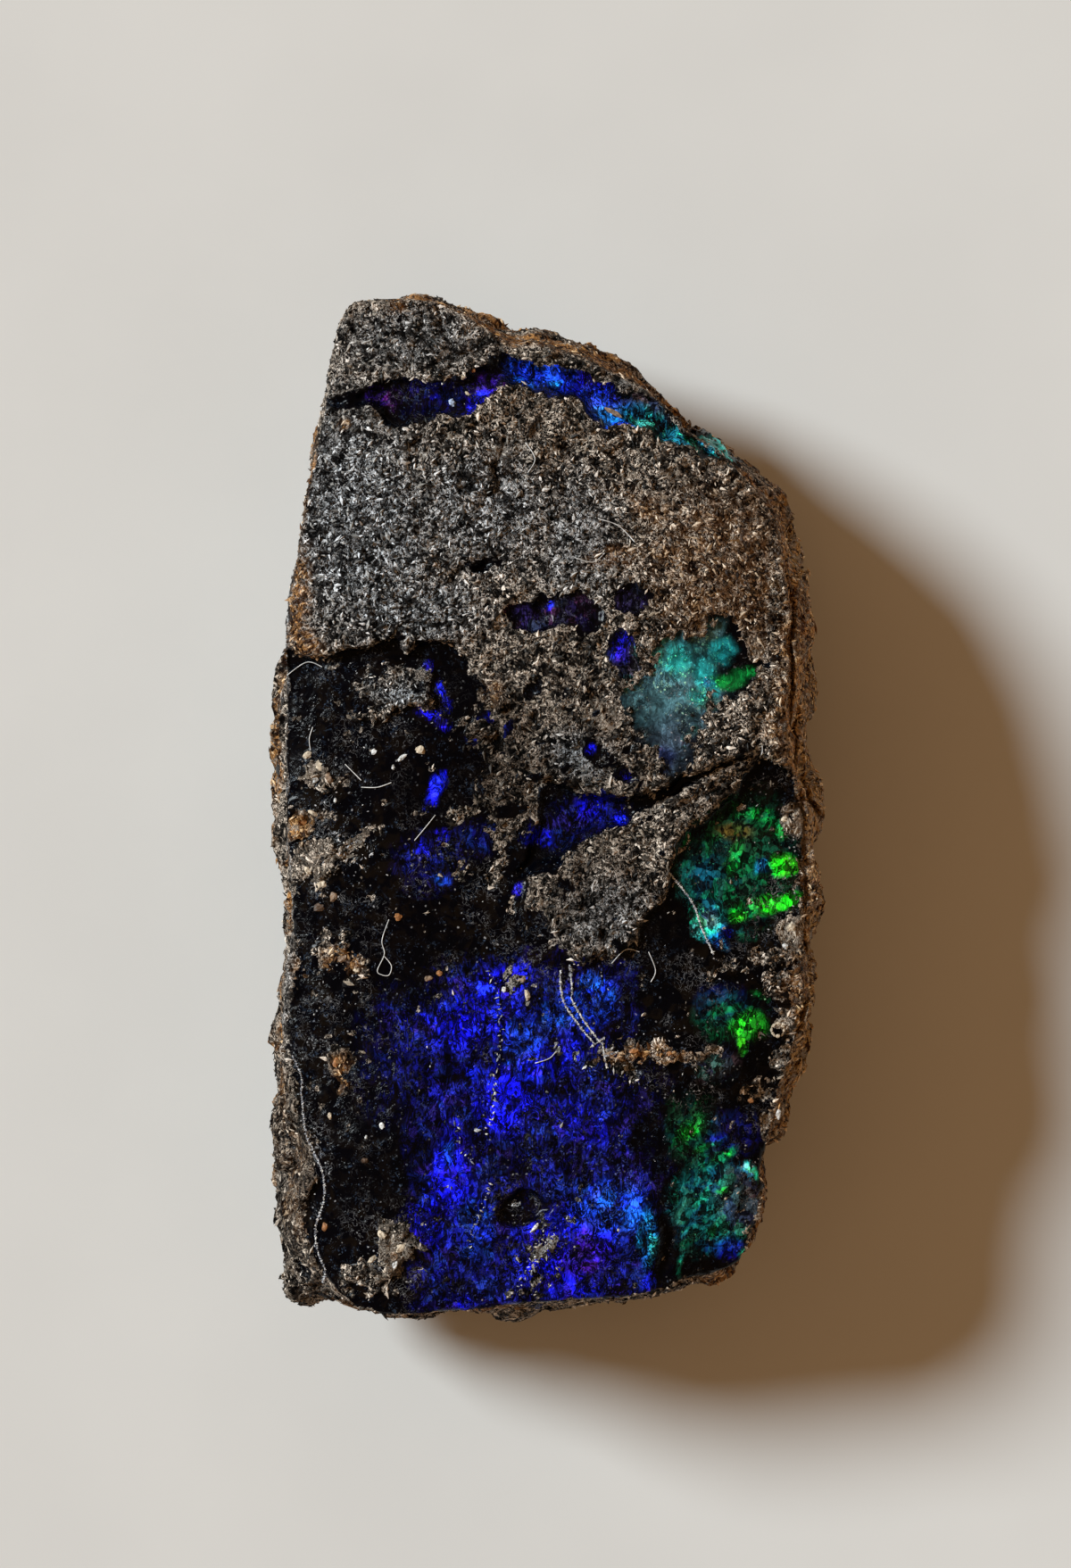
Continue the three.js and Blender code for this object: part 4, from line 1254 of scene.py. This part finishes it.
        field_share = 0.9 * rise(-0.7, 0.9, BLUE_FIELD.depth(x, y) + 2.2 * fray)
        fire = self.read_fire(x, y, field_share)
        hollows = (GREEN_HOLLOW, SECOND_HOLLOW, LOBE)
        facets = np.maximum.reduce([rise(-0.2, 0.3, hollow.depth(x, y)) for hollow in hollows])
        bare = rise(-0.05, 0.2, BARE_EDGE.depth(place[:, 0], place[:, 1])) * rise(3.0, 4.5, place[:, 2])
        open_face = np.maximum(face, bare)
        self.values = {
            "ironstone": 1.0 - (1.0 - ironstone * (1.0 - bare)) * open_face,
            "milk": np.maximum(rise(-0.2, 0.4, milky) * face, bare),
            "facet": facets * face,
            "fire": fire * open_face[:, None],
        }
        for ground, share in grounds.items():
            self.values[ground.value] = share * face
        dusty = 0.012 + 0.2 * dirt * patchy
        dust = (1.0 - ironstone) * face * dusty * (1.0 - 0.6 * field_share)
        self.weather(place, face, broken, ironstone, crevice, dust)
        return lift

    def lay_rock(self, place: np.ndarray, x: np.ndarray, y: np.ndarray, fray: np.ndarray,
                 broken: np.ndarray) -> tuple[np.ndarray, np.ndarray]:
        """Lays out the ironstone: the plate, the great island, the shelf, small islands and crusts.

        Args:
            place: The surface points in millimetres.
            x: The face's shaken x.
            y: The face's shaken y.
            fray: How ragged the outlines are at each point.
            broken: Coarse noise for the shelf's edge.

        Returns:
            How far inside the ironstone each point is, and how far to lift it.
        """
        plate = PLATE.depth(x, y)
        island = GREAT_ISLAND.depth(x, y)
        shelf = BROWN_SHELF.depth(x, y)
        rock = np.maximum.reduce([plate, island + 0.5 * fray, shelf + 1.3 * broken + 1.5 * fray - 0.5])
        lift = self.ledge(plate, *self.plate_ledge) + self.ledge(island, *self.island_ledge)
        for oval, height in ISLANDS:
            depth = oval.depth(x, y) + 1.6 * fray
            rock = np.maximum(rock, depth)
            lift += height * rise(-0.12, 0.22, depth)
        for oval in CRUSTS:
            rock = np.maximum(rock, oval.depth(x, y) + 1.6 * fray)
        rim_at = np.interp(place[:, 1], *RIGHT_RIM)
        rim = np.where(place[:, 1] > -12, place[:, 0] - rim_at, -1.0)
        return np.maximum(rock, rim + fray), lift

    def open_opal(self, x: np.ndarray, y: np.ndarray, fray: np.ndarray,
                  milky: np.ndarray) -> tuple[np.ndarray, np.ndarray]:
        """Opens the ironstone where opal shows: the seam, the milky patch, the wedge and the windows.

        Args:
            x: The face's shaken x.
            y: The face's shaken y.
            fray: How ragged the outlines are at each point.
            milky: How far inside the milky patch each point is.

        Returns:
            How far inside the openings each point is, and how far to sink it.
        """
        seam = SEAM.depth(x, y) + 0.8 * fray
        wedge = WEDGE.depth(x, y) + 0.7 * fray
        sunk = self.seam_mm * rise(-0.05, 0.45, seam) + self.milky_mm * rise(-0.1, 0.3, milky)
        sunk += self.wedge_mm * rise(-0.05, 0.3, wedge)
        opal = np.maximum.reduce([seam, milky, wedge])
        for oval, deep in WINDOWS:
            depth = oval.depth(x, y) + fray
            opal = np.maximum(opal, depth)
            sunk += deep * rise(-0.06, 0.3, depth)
        for oval, deep in HOLES:
            sunk += deep * rise(-0.05, 0.35, oval.depth(x, y))
        return opal, sunk + self.slope_mm * rise(0.0, 0.5, LEFT_SLOPE.depth(x, y))

    def crumble(self, rock: np.ndarray, flat: np.ndarray, y: np.ndarray, dirt: np.ndarray,
                dark: np.ndarray) -> np.ndarray:
        """Scatters crumbs of ironstone beside the rock and bites gaps into its edge.

        Args:
            rock: How far inside the ironstone each point is.
            flat: The surface points, pressed flat.
            y: The face's shaken y.
            dirt: How dirty the potch is.
            dark: How dark the ironstone is.

        Returns:
            The new depth inside the ironstone.
        """
        crumb = self.noise.layers(flat + 37.0, 0.7, 3, 0.7)
        beside = rise(-1.3, 0.0, rock) * rise(-0.2, 0.2, self.noise.at(flat + 77.0, 1.9))
        rock = np.maximum(rock, 0.5 * (crumb - 1.0 + 0.60 * np.maximum(dirt, beside)))
        bitten = self.noise.layers(flat + 87.0, 0.8, 3, 0.7)
        inner = rise(1.5, 0.2, rock) * rise(9.5, 5.0, y)
        return np.minimum(rock, 0.5 * (1.1 - bitten - 0.5 * inner - 0.4 * dark))

    def relief(self, flat: np.ndarray, x: np.ndarray, ironstone: np.ndarray,
               crevice: np.ndarray) -> np.ndarray:
        """The fine relief: lumps and crevices in the ironstone, soft crumples in the opal.

        Args:
            flat: The surface points, pressed flat.
            x: The face's shaken x.
            ironstone: How much each point is ironstone.
            crevice: How much each point is in a crevice.

        Returns:
            How far to lift each point in millimetres.
        """
        lumps = 0.15 * self.noise.layers(flat, 1.3, 2, 0.6) + 0.11 * self.noise.at(flat + 5.0, 0.48)
        lumps += 0.07 * self.noise.at(flat + 9.0, 0.27)
        lumps -= 0.17 * crevice
        crumple = 0.06 * self.noise.layers(flat + 23.0, 1.8, 2, 0.5)
        crumple += 0.03 * self.noise.folds(flat + 31.0, 0.9)
        return ironstone * lumps + (1.0 - ironstone) * crumple * rise(-12.0, -9.5, x)

    @staticmethod
    def read_fire(x: np.ndarray, y: np.ndarray, field_share: np.ndarray) -> np.ndarray:
        """The opal's colour at each point, with painted shade that makes it black in the holes.

        Args:
            x: The face's shaken x.
            y: The face's shaken y.
            field_share: How much each point belongs to the blue field.

        Returns:
            An n by 3 array of linear colours.
        """
        fire = field_share[:, None] * np.array(Fire.DEEP.value)
        for glow in GLOWS:
            share = glow.share(x, y)[:, None]
            fire = fire * (1.0 - share) + np.array(glow.fire.value) * share
        # Painted shade: the opal's colour goes black in the holes.
        dark = np.maximum.reduce([rise(-0.1, 0.2, oval.depth(x, y)) for oval, _ in HOLES])
        return fire * (1.0 - 0.95 * dark)[:, None]

    def raise_value(self, name: str, share: np.ndarray) -> None:
        """Raises one of the material's values to a share where that is more."""
        self.values[name] = np.maximum(self.values[name], share)

    def weather(self, place: np.ndarray, face: np.ndarray, broken: np.ndarray, ironstone: np.ndarray,
                crevice: np.ndarray, dust: np.ndarray) -> None:
        """Adds rust, painted light and soot to the sides and the rim, painted shade to the crevices, and says
        where grains lie.

        Args:
            place: The surface points in millimetres.
            face: How much each point belongs to the face.
            broken: Coarse noise that makes the edges of these areas ragged.
            ironstone: How much each point is ironstone.
            crevice: How much each point is in a crevice.
            dust: How much dust lies on each point.
        """
        side = 1.0 - face
        under = self.rim_height(place) - place[:, 2] + 0.5 * broken
        painted_lit_rim = rise(-10.2, -11.4, place[:, 0]) * side * rise(-12.0, -9.0, place[:, 1])
        painted_lit_rim *= 1.0 - rise(0.4, 2.0, under)
        rust = np.maximum(self.side_rust(place), rise(9.0, 10.5, place[:, 0]))
        self.raise_value("rust", rust * side * (1.0 - painted_lit_rim))
        # Painted highlight where the left rim catches the light.
        self.raise_value("cool", painted_lit_rim)
        self.raise_value("pale", 0.15 * painted_lit_rim)
        painted_sun_side = rise(9.5, 11.0, place[:, 0]) * side
        # Painted light on the right side, which lies in shade.
        self.raise_value("pale", painted_sun_side)
        self.raise_value("dark", 0.6 * painted_lit_rim)
        # Painted shade in the crevices.
        self.raise_value("dark", 0.8 * crevice * face)
        self.values["grit"] = ironstone * face * (1.0 - 0.5 * self.values["dark"])
        self.raise_value("grit", 0.9 * (painted_sun_side * rise(2.5, 0.8, under)))
        self.values["dust"] = dust
        corner = rise(-8.5, -10.0, place[:, 0]) * rise(-9.5, -12.5, place[:, 1] + broken) * side
        corner *= 1.0 - 0.8 * rise(2.0, 7.0, under)
        self.values["rust"] *= 1.0 - 0.7 * corner
        soot = corner * (0.35 + 0.65 * rise(-0.20, 0.15, self.noise.at(place + 99.0, 0.45)))
        self.raise_value("grit", 0.8 * corner)
        self.raise_value("dark", soot)
        self.values["crust"] = side * rise(0.3, 1.5, place[:, 2]) * (1.0 - 0.5 * corner)

    def read_side(self, place: np.ndarray) -> np.ndarray:
        """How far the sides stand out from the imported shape, in millimetres.

        Args:
            place: The surface points in millimetres.

        Returns:
            One distance a point, small along the rim so that the outline stays as packed.
        """
        below = rise(0.5, 3.5, self.rim_height(place) - place[:, 2])
        flakes = 0.55 * self.noise.facets(place * np.array([1.0, 1.0, 1.4]) + 61.0, 2.7)
        chips = 0.26 * self.noise.facets(place + 67.0, 1.2)
        rough = 0.07 * self.noise.layers(place + 71.0, 0.9, 2, 0.6)
        left = 0.5 * rise(-9.8, -10.8, place[:, 0]) * rise(-4.0, -8.0, place[:, 1])
        return np.minimum((0.3 + 0.9 * below) * (flakes + chips) + 0.05 - 0.25 * below, 0.1) + left + rough

    @staticmethod
    def rim_height(place: np.ndarray) -> np.ndarray:
        """The height of the face's rim beside each point."""
        return 12.3 - 5.4 * rise(5.0, 25.0, 0.55 * place[:, 0] + 0.83 * place[:, 1])

    def side_rust(self, place: np.ndarray) -> np.ndarray:
        """How rusty the sides are, in bands that follow the slab."""
        banded = place * np.array([0.35, 0.35, 1.3])
        return rise(-0.2, 0.5, self.noise.layers(banded + 97.0, 3.0, 4, 0.6))

    def store(self, stone: bpy.types.Object) -> None:
        """Writes the material's values onto the mesh."""
        for name, data in self.values.items():
            if data.ndim == 2:
                layer = stone.data.attributes.new(name, "FLOAT_COLOR", "POINT")
                full = np.ones((len(data), 4))
                full[:, :3] = data
                layer.data.foreach_set("color", full.ravel())
            else:
                layer = stone.data.attributes.new(name, "FLOAT", "POINT")
                layer.data.foreach_set("value", data)


# ---------------------------------------------------------------------------------------------
# Grains
# ---------------------------------------------------------------------------------------------


# Points on a square metre before they are thinned out, far more than the spacing leaves room for.
CROWDED = 2.0e8
# A height above all of the stone, in millimetres.
ABOVE_MM = 30.0
# How far the middle of a path lies above the surface, in millimetres.
CLEAR_MM = 0.03


class Weave:
    """A Geometry Nodes tree, with short calls that add and link nodes."""

    def __init__(self, name: str, inputs: list[tuple[str, str]]) -> None:
        """Starts a tree.

        Args:
            name: The tree's name.
            inputs: Each input's name and socket type, after the geometry.
        """
        self.tree = bpy.data.node_groups.new(name, "GeometryNodeTree")
        ports = self.tree.interface
        ports.new_socket("Geometry", in_out="INPUT", socket_type="NodeSocketGeometry")
        self.sockets = {key: ports.new_socket(key, in_out="INPUT", socket_type=kind) for key, kind in inputs}
        ports.new_socket("Geometry", in_out="OUTPUT", socket_type="NodeSocketGeometry")
        self.source = self.tree.nodes.new("NodeGroupInput")
        self.result = self.tree.nodes.new("NodeGroupOutput")

    def add(self, kind: str, links: dict | None = None, **settings: object) -> bpy.types.Node:
        """Adds a node.

        Args:
            kind: The node's full type name.
            links: A value or an output for each named or numbered input.
            **settings: Values of the node's own properties.

        Returns:
            The new node.
        """
        node = self.tree.nodes.new(kind)
        for key, value in settings.items():
            setattr(node, key, value)
        for key, value in (links or {}).items():
            socket = node.inputs[key]
            if isinstance(value, bpy.types.NodeSocket):
                self.tree.links.new(value, socket)
            else:
                socket.default_value = value
        return node

    def given(self, name: str) -> bpy.types.NodeSocket:
        """The tree's input of that name."""
        return self.source.outputs[name]

    def random(self, kind: str, low: object, high: object, offset: int) -> bpy.types.NodeSocket:
        """A random value for each point, from the tree's Seed input.

        Args:
            kind: FLOAT or FLOAT_VECTOR.
            low: The least value.
            high: The greatest value.
            offset: Added to the seed so that the values of one point don't match.

        Returns:
            The output with the value.
        """
        seed = self.add("ShaderNodeMath", {0: self.given("Seed"), 1: float(offset)}, operation="ADD")
        first = 0 if kind == "FLOAT_VECTOR" else 2
        node = self.add("FunctionNodeRandomValue", {
            first: low, first + 1: high, "Seed": seed.outputs[0],
        }, data_type=kind)
        return node.outputs[0 if kind == "FLOAT_VECTOR" else 1]

    def grow(self, points: bpy.types.NodeSocket, rotation: object, material: bpy.types.Material) -> None:
        """Puts a small angular grain on every point and ends the tree.

        Args:
            points: The points, in a tree with the inputs Smallest, Largest and Seed.
            rotation: How each point's surface is turned.
            material: The grains' material.
        """
        size = self.random("FLOAT", self.given("Smallest"), self.given("Largest"), 1)
        squash = self.random("FLOAT_VECTOR", (0.9, 0.4, 0.35), (2.3, 0.9, 0.6), 2)
        tilt = self.random("FLOAT_VECTOR", (-0.6, -0.6, 0.0), (0.6, 0.6, 6.3), 3)
        turned = self.add("FunctionNodeRotateRotation", {"Rotation": rotation, "Rotate By": tilt},
                          rotation_space="LOCAL")
        turn = turned.outputs[0]
        scale = self.add("ShaderNodeVectorMath", {0: squash, "Scale": size}, operation="SCALE")
        seed_shape = self.add("GeometryNodeMeshUVSphere", {"Segments": 4, "Rings": 2, "Radius": 1.0})
        copies = self.add("GeometryNodeInstanceOnPoints", {
            "Points": points, "Instance": seed_shape.outputs[0], "Rotation": turn, "Scale": scale.outputs[0],
        })
        toned = self.add("GeometryNodeStoreNamedAttribute", {
            "Geometry": copies.outputs[0], "Name": "tone", "Value": self.random("FLOAT", 0.0, 1.0, 4),
        }, data_type="FLOAT", domain="INSTANCE")
        self.end(toned.outputs[0], material)

    def end(self, geometry: bpy.types.NodeSocket, material: bpy.types.Material) -> None:
        """Realizes the instances, sets the material and ends the tree."""
        real = self.add("GeometryNodeRealizeInstances", {"Geometry": geometry})
        dressed = self.add("GeometryNodeSetMaterial", {"Geometry": real.outputs[0], "Material": material})
        self.tree.links.new(dressed.outputs[0], self.result.inputs[0])

    def apply(self, obj: bpy.types.Object, **values: object) -> None:
        """Puts the tree on an object and sets its inputs by their identifiers."""
        modifier = obj.modifiers.new(self.tree.name, "NODES")
        modifier.node_group = self.tree
        for name, value in values.items():
            modifier[self.sockets[name.replace("_", " ")].identifier] = value


@dataclass
class Grains:
    """Sand grains that stand out of the stone's surface.

    Attributes:
        name: The piece's name.
        density: The name of the stored value that says where grains are.
        spacing_mm: The least distance between two grains.
        small_mm: The smallest grain's radius.
        large_mm: The largest grain's radius.
        seed: The seed of all that is random.
        finish: The grains' finish.
    """

    name: str
    density: str
    spacing_mm: float
    small_mm: float
    large_mm: float
    seed: int
    finish: GrainFinish

    def tree(self) -> Weave:
        """Builds the tree that scatters the grains."""
        weave = Weave(self.name, [
            ("Spacing", "NodeSocketFloat"), ("Smallest", "NodeSocketFloat"), ("Largest", "NodeSocketFloat"),
            ("Seed", "NodeSocketInt"),
        ])
        where = weave.add("GeometryNodeInputNamedAttribute", {"Name": self.density}, data_type="FLOAT")
        points = weave.add("GeometryNodeDistributePointsOnFaces", {
            "Mesh": weave.given("Geometry"), "Distance Min": weave.given("Spacing"), "Density Max": CROWDED,
            "Density Factor": where.outputs[0], "Seed": weave.given("Seed"),
        }, distribute_method="POISSON")
        weave.grow(points.outputs["Points"], points.outputs["Rotation"], self.finish.material())
        return weave

    def build(self, stone: bpy.types.Object) -> bpy.types.Object:
        """Scatters the grains over the stone.

        Args:
            stone: The finished stone.

        Returns:
            All the grains as one mesh object.
        """
        host = place_new(self.name + "_host", stone.data.copy())
        self.tree().apply(
            host, Spacing=self.spacing_mm * MM, Smallest=self.small_mm * MM, Largest=self.large_mm * MM,
            Seed=self.seed,
        )
        return plain_mesh(host, self.name)


class Surface:
    """The finished stone's upper surface, asked for its height."""

    def __init__(self, stone: bpy.types.Object) -> None:
        """Reads the stone's mesh.

        Args:
            stone: The finished stone.
        """
        mesh = stone.data
        self.tree = BVHTree.FromPolygons(
            [vertex.co for vertex in mesh.vertices], [tuple(face.vertices) for face in mesh.polygons],
        )

    def height(self, x: float, y: float) -> float:
        """The height in millimetres of the surface at a place in millimetres."""
        start = Vector((x, y, ABOVE_MM)) * MM
        spot = self.tree.ray_cast(start, Vector((0.0, 0.0, -1.0)))[0]
        return spot.z / MM if spot else 0.0


@dataclass
class Strand:
    """A smooth path over the stone through a few points.

    Attributes:
        points: The points that the path passes, in millimetres.
    """

    points: Points

    def route(self, surface: Surface, clear_mm: float, steps: int = 8) -> list[Vector]:
        """The path's points in metres, resting on the surface.

        Args:
            surface: The stone's surface.
            clear_mm: How far the path's middle is above the surface.
            steps: How many steps between two points.

        Returns:
            The points, smoothed so that the path bridges small gaps.
        """
        ends = [self.points[0], *self.points, self.points[-1]]
        flat = []
        for before, start, end, after in zip(ends, ends[1:], ends[2:], ends[3:]):
            for step in range(steps):
                t = step / steps
                flat.append(tuple(
                    0.5 * (2 * b + (c - a) * t + (2 * a - 5 * b + 4 * c - d) * t**2
                           + (3 * b - a - 3 * c + d) * t**3)
                    for a, b, c, d in zip(before, start, end, after)
                ))
        flat.append(self.points[-1])
        heights = [surface.height(x, y) + clear_mm for x, y in flat]
        bridged = [max(heights[max(i - 1, 0):i + 2]) for i in range(len(heights))]
        return [Vector((x, y, z)) * MM for (x, y), z in zip(flat, bridged)]


def path_mesh(name: str, routes: list[list[Vector]]) -> bpy.types.Object:
    """Makes an object of loose edges along some routes, for a tree to build on.

    Args:
        name: The object's name.
        routes: Each path's points in metres.

    Returns:
        The object, linked to the scene.
    """
    points = [tuple(point) for route in routes for point in route]
    edges = []
    first = 0
    for route in routes:
        edges += [(first + i, first + i + 1) for i in range(len(route) - 1)]
        first += len(route)
    mesh = bpy.data.meshes.new(name)
    mesh.from_pydata(points, edges, [])
    return place_new(name, mesh)


@dataclass
class Lint:
    """The lint fibres caught on the stone."""

    radius_mm: float = 0.020
    finish: LintFinish = field(default_factory=LintFinish)

    def build(self, surface: Surface) -> bpy.types.Object:
        """Lays a thin tube along each fibre's path.

        Args:
            surface: The stone's surface.

        Returns:
            All the fibres as one mesh object.
        """
        weave = Weave("lint_fibres", [("Thickness", "NodeSocketFloat"), ("Sides", "NodeSocketInt")])
        curve = weave.add("GeometryNodeMeshToCurve", {"Mesh": weave.given("Geometry")})
        ring = weave.add("GeometryNodeCurvePrimitiveCircle", {
            "Resolution": weave.given("Sides"), "Radius": weave.given("Thickness"),
        })
        tube = weave.add("GeometryNodeCurveToMesh", {
            "Curve": curve.outputs[0], "Profile Curve": ring.outputs[0], "Fill Caps": True,
        })
        weave.end(tube.outputs[0], self.finish.material())
        routes = [Strand(points).route(surface, self.radius_mm + CLEAR_MM) for points in LINT]
        host = path_mesh("lint_paths", routes)
        weave.apply(host, Thickness=self.radius_mm * MM, Sides=5)
        return plain_mesh(host, "lint_fibres")


@dataclass
class Veins:
    """Pale mineral grains that fill the cracks in the blue opal.

    Attributes:
        name: The piece's name.
        lines: The cracks' paths.
        spacing_mm: The distance between two grains along a crack.
        small_mm: The smallest grain's radius.
        large_mm: The largest grain's radius.
        stray_mm: How far a grain may lie beside the crack.
        seed: The seed of all that is random.
        finish: The grains' finish.
    """

    name: str
    lines: list[Points]
    spacing_mm: float
    small_mm: float
    large_mm: float
    stray_mm: float
    seed: int
    finish: GrainFinish

    def build(self, surface: Surface) -> bpy.types.Object:
        """Strings grains along the cracks.

        Args:
            surface: The stone's surface.

        Returns:
            All the grains as one mesh object.
        """
        weave = Weave(self.name, [
            ("Spacing", "NodeSocketFloat"), ("Smallest", "NodeSocketFloat"), ("Largest", "NodeSocketFloat"),
            ("Stray", "NodeSocketFloat"), ("Seed", "NodeSocketInt"),
        ])
        curve = weave.add("GeometryNodeMeshToCurve", {"Mesh": weave.given("Geometry")})
        even = weave.add("GeometryNodeResampleCurve", {
            "Curve": curve.outputs[0], "Length": weave.given("Spacing"),
        }, mode="LENGTH")
        points = weave.add("GeometryNodeCurveToPoints", {"Curve": even.outputs[0]}, mode="EVALUATED")
        wander = weave.random("FLOAT_VECTOR", (-1.0, -1.0, -0.2), (1.0, 1.0, 0.2), 5)
        shift = weave.add("ShaderNodeVectorMath", {0: wander, "Scale": weave.given("Stray")},
                          operation="SCALE")
        moved = weave.add("GeometryNodeSetPosition", {
            "Geometry": points.outputs[0], "Offset": shift.outputs[0],
        })
        weave.grow(moved.outputs[0], (0.0, 0.0, 0.0), self.finish.material())
        routes = [Strand(points).route(surface, CLEAR_MM) for points in self.lines]
        host = path_mesh(self.name + "_paths", routes)
        weave.apply(
            host, Spacing=self.spacing_mm * MM, Smallest=self.small_mm * MM, Largest=self.large_mm * MM,
            Stray=self.stray_mm * MM, Seed=self.seed,
        )
        return plain_mesh(host, self.name)


@dataclass
class Pebbles:
    """The single large grains, each modelled at its own place."""

    squash: float = 0.6
    seed: int = 23

    def build(self, surface: Surface) -> bpy.types.Object:
        """Makes every large grain.

        Args:
            surface: The stone's surface.

        Returns:
            All of them as one mesh object with a colour attribute.
        """
        noise = RockNoise(self.seed)
        bm = bmesh.new()
        layer = bm.verts.layers.float_color.new("tint")
        for pebble in PEBBLES:
            made = bmesh.ops.create_icosphere(bm, subdivisions=2, radius=1.0)["verts"]
            turn = math.radians(pebble.turn)
            shape = np.array([vertex.co for vertex in made])
            shape *= 0.8 + 0.45 * noise.facets(shape + 3.1 * pebble.x, 0.9)[:, None]
            rest = surface.height(pebble.x, pebble.y)
            for vertex, (x, y, z) in zip(made, shape):
                x *= pebble.rx
                y *= pebble.ry
                z *= self.squash * min(pebble.rx, pebble.ry)
                vertex.co = Vector((
                    pebble.x + x * math.cos(turn) - y * math.sin(turn),
                    pebble.y + x * math.sin(turn) + y * math.cos(turn),
                    rest + z,
                )) * MM
                vertex[layer] = (*pebble.kind.value, 1.0)
        mesh = bpy.data.meshes.new("large_grains")
        bm.to_mesh(mesh)
        bm.free()
        mesh.materials.append(PebbleFinish().material())
        return place_new("large_grains", mesh)


# ---------------------------------------------------------------------------------------------
# The studio
# ---------------------------------------------------------------------------------------------


@dataclass(frozen=True)
class Studio:
    """The floor, the light and the camera.

    Attributes:
        lens: The camera's focal length in millimetres.
        sensor: The width of its sensor in millimetres.
        nearest: The distance in metres below which it sees nothing.
        frame_mm: The length that fills the frame at the face's height.
        focus_z_mm: The height of the face above the floor.
        middle_mm: The place below the middle of the frame.
        key_power: The strength of the key light.
        key_spread: The key light's width in degrees, which softens its shadow.
        key_colour: The key light's colour.
        key_from: The direction that the key light comes from.
        surround_colour: The colour of the light from all round.
        surround_power: The strength of that light.
        floor_colour: The floor's colour.
        floor_size: Half the floor's width in metres.
        floor_drop: How far the floor lies below the stone in metres, so that the two don't flicker.
    """

    lens: float = 200.0
    sensor: float = 36.0
    nearest: float = 0.01
    frame_mm: float = 68.2
    focus_z_mm: float = 9.5
    middle_mm: tuple[float, float] = (-0.58, 1.14)
    key_power: float = 4.0
    key_spread: float = 17.0
    key_colour: Rgb = (0.87, 0.96, 1.0)
    key_from: Triple = (-0.84, 0.38, 0.66)
    surround_colour: Rgb = (1.0, 0.58, 0.28)
    surround_power: float = 0.25
    floor_colour: Rgb = (0.755, 0.755, 0.74)
    floor_size: float = 3.0
    floor_drop: float = 0.00002

    def camera(self) -> None:
        """Places the camera, which looks straight down."""
        data = bpy.data.cameras.new("camera")
        data.lens = self.lens
        data.sensor_width = self.sensor
        data.clip_start = self.nearest
        distance = self.frame_mm * self.lens / self.sensor
        camera = place_new("camera", data)
        x, y = self.middle_mm
        camera.location = Vector((x, y, self.focus_z_mm + distance)) * MM
        bpy.context.scene.camera = camera

    def light(self) -> None:
        """One soft key light from the upper left and a dim, even surround."""
        data = bpy.data.lights.new("key", "SUN")
        data.energy = self.key_power
        data.angle = math.radians(self.key_spread)
        data.color = self.key_colour
        key = place_new("key", data)
        towards = Vector(self.key_from)
        key.rotation_euler = towards.to_track_quat("Z", "Y").to_euler()
        key.location = towards * 0.5
        world = bpy.data.worlds.new("surround")
        world.use_nodes = True
        surround = world.node_tree.nodes["Background"]
        surround.inputs[0].default_value = (*self.surround_colour, 1.0)
        surround.inputs[1].default_value = self.surround_power
        bpy.context.scene.world = world
        bpy.context.scene.view_settings.view_transform = "Standard"

    def floor(self) -> None:
        """A plain pale floor under the stone."""
        bm = bmesh.new()
        bmesh.ops.create_grid(bm, x_segments=1, y_segments=1, size=self.floor_size)
        mesh = bpy.data.meshes.new("floor")
        bm.to_mesh(mesh)
        bm.free()
        s = Sketch("pale_floor")
        tone = s.scale(s.noise(s.millimetres(), 14.0, 3.0), 0.3, 0.7, 0.96, 1.0)
        base = s.mix(1.0, self.floor_colour, tone, "MULTIPLY")
        mesh.materials.append(s.finish(Base_Color=base, Roughness=0.9))
        floor = place_new("floor", mesh)
        floor.location.z = -self.floor_drop


def attach(piece: bpy.types.Object) -> None:
    """Rides a finished piece on the stone's body and reports it."""
    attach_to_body(piece, BODY)
    LOG.info("%s: %d triangles", piece.name, count_triangles(piece))


def main() -> None:
    """Builds the scene in order."""
    logging.basicConfig(level=logging.INFO, format="%(name)s: %(message)s")
    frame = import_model()
    studio = Studio()
    studio.camera()
    studio.light()
    studio.floor()

    stone = Stone(frame["nodes"][NODE]).build()
    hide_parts(NODE)
    attach(stone)
    sand = GrainFinish("sand_grain")
    bright = GrainFinish("bright_mineral", stops=BRIGHT_STOPS)
    for grains in (
        Grains("sand_grains", "grit", 0.15, 0.045, 0.115, 5, sand),
        Grains("coarse_grains", "grit", 0.50, 0.09, 0.16, 7, sand),
        Grains("dust_specks", "dust", 0.22, 0.014, 0.045, 9, bright),
        Grains("crust_grains", "crust", 0.34, 0.06, 0.13, 13, sand),
    ):
        attach(grains.build(stone))
    surface = Surface(stone)
    attach(Pebbles().build(surface))
    for veins in (
        Veins("bright_veins", BRIGHT_CRACKS, 0.02, 0.022, 0.05, 0.014, 15, bright),
        # Bright grains along the lower left rim: a painted highlight on its edge.
        Veins("rim_highlight_grains", [RIM_LINE], 0.03, 0.022, 0.05, 0.03, 17, bright),
        Veins("crack_flecks", FLECK_CRACKS, 0.13, 0.02, 0.07, 0.11, 19, bright),
    ):
        attach(veins.build(surface))
    attach(Lint().build(surface))


if __name__ == "__main__":
    main()
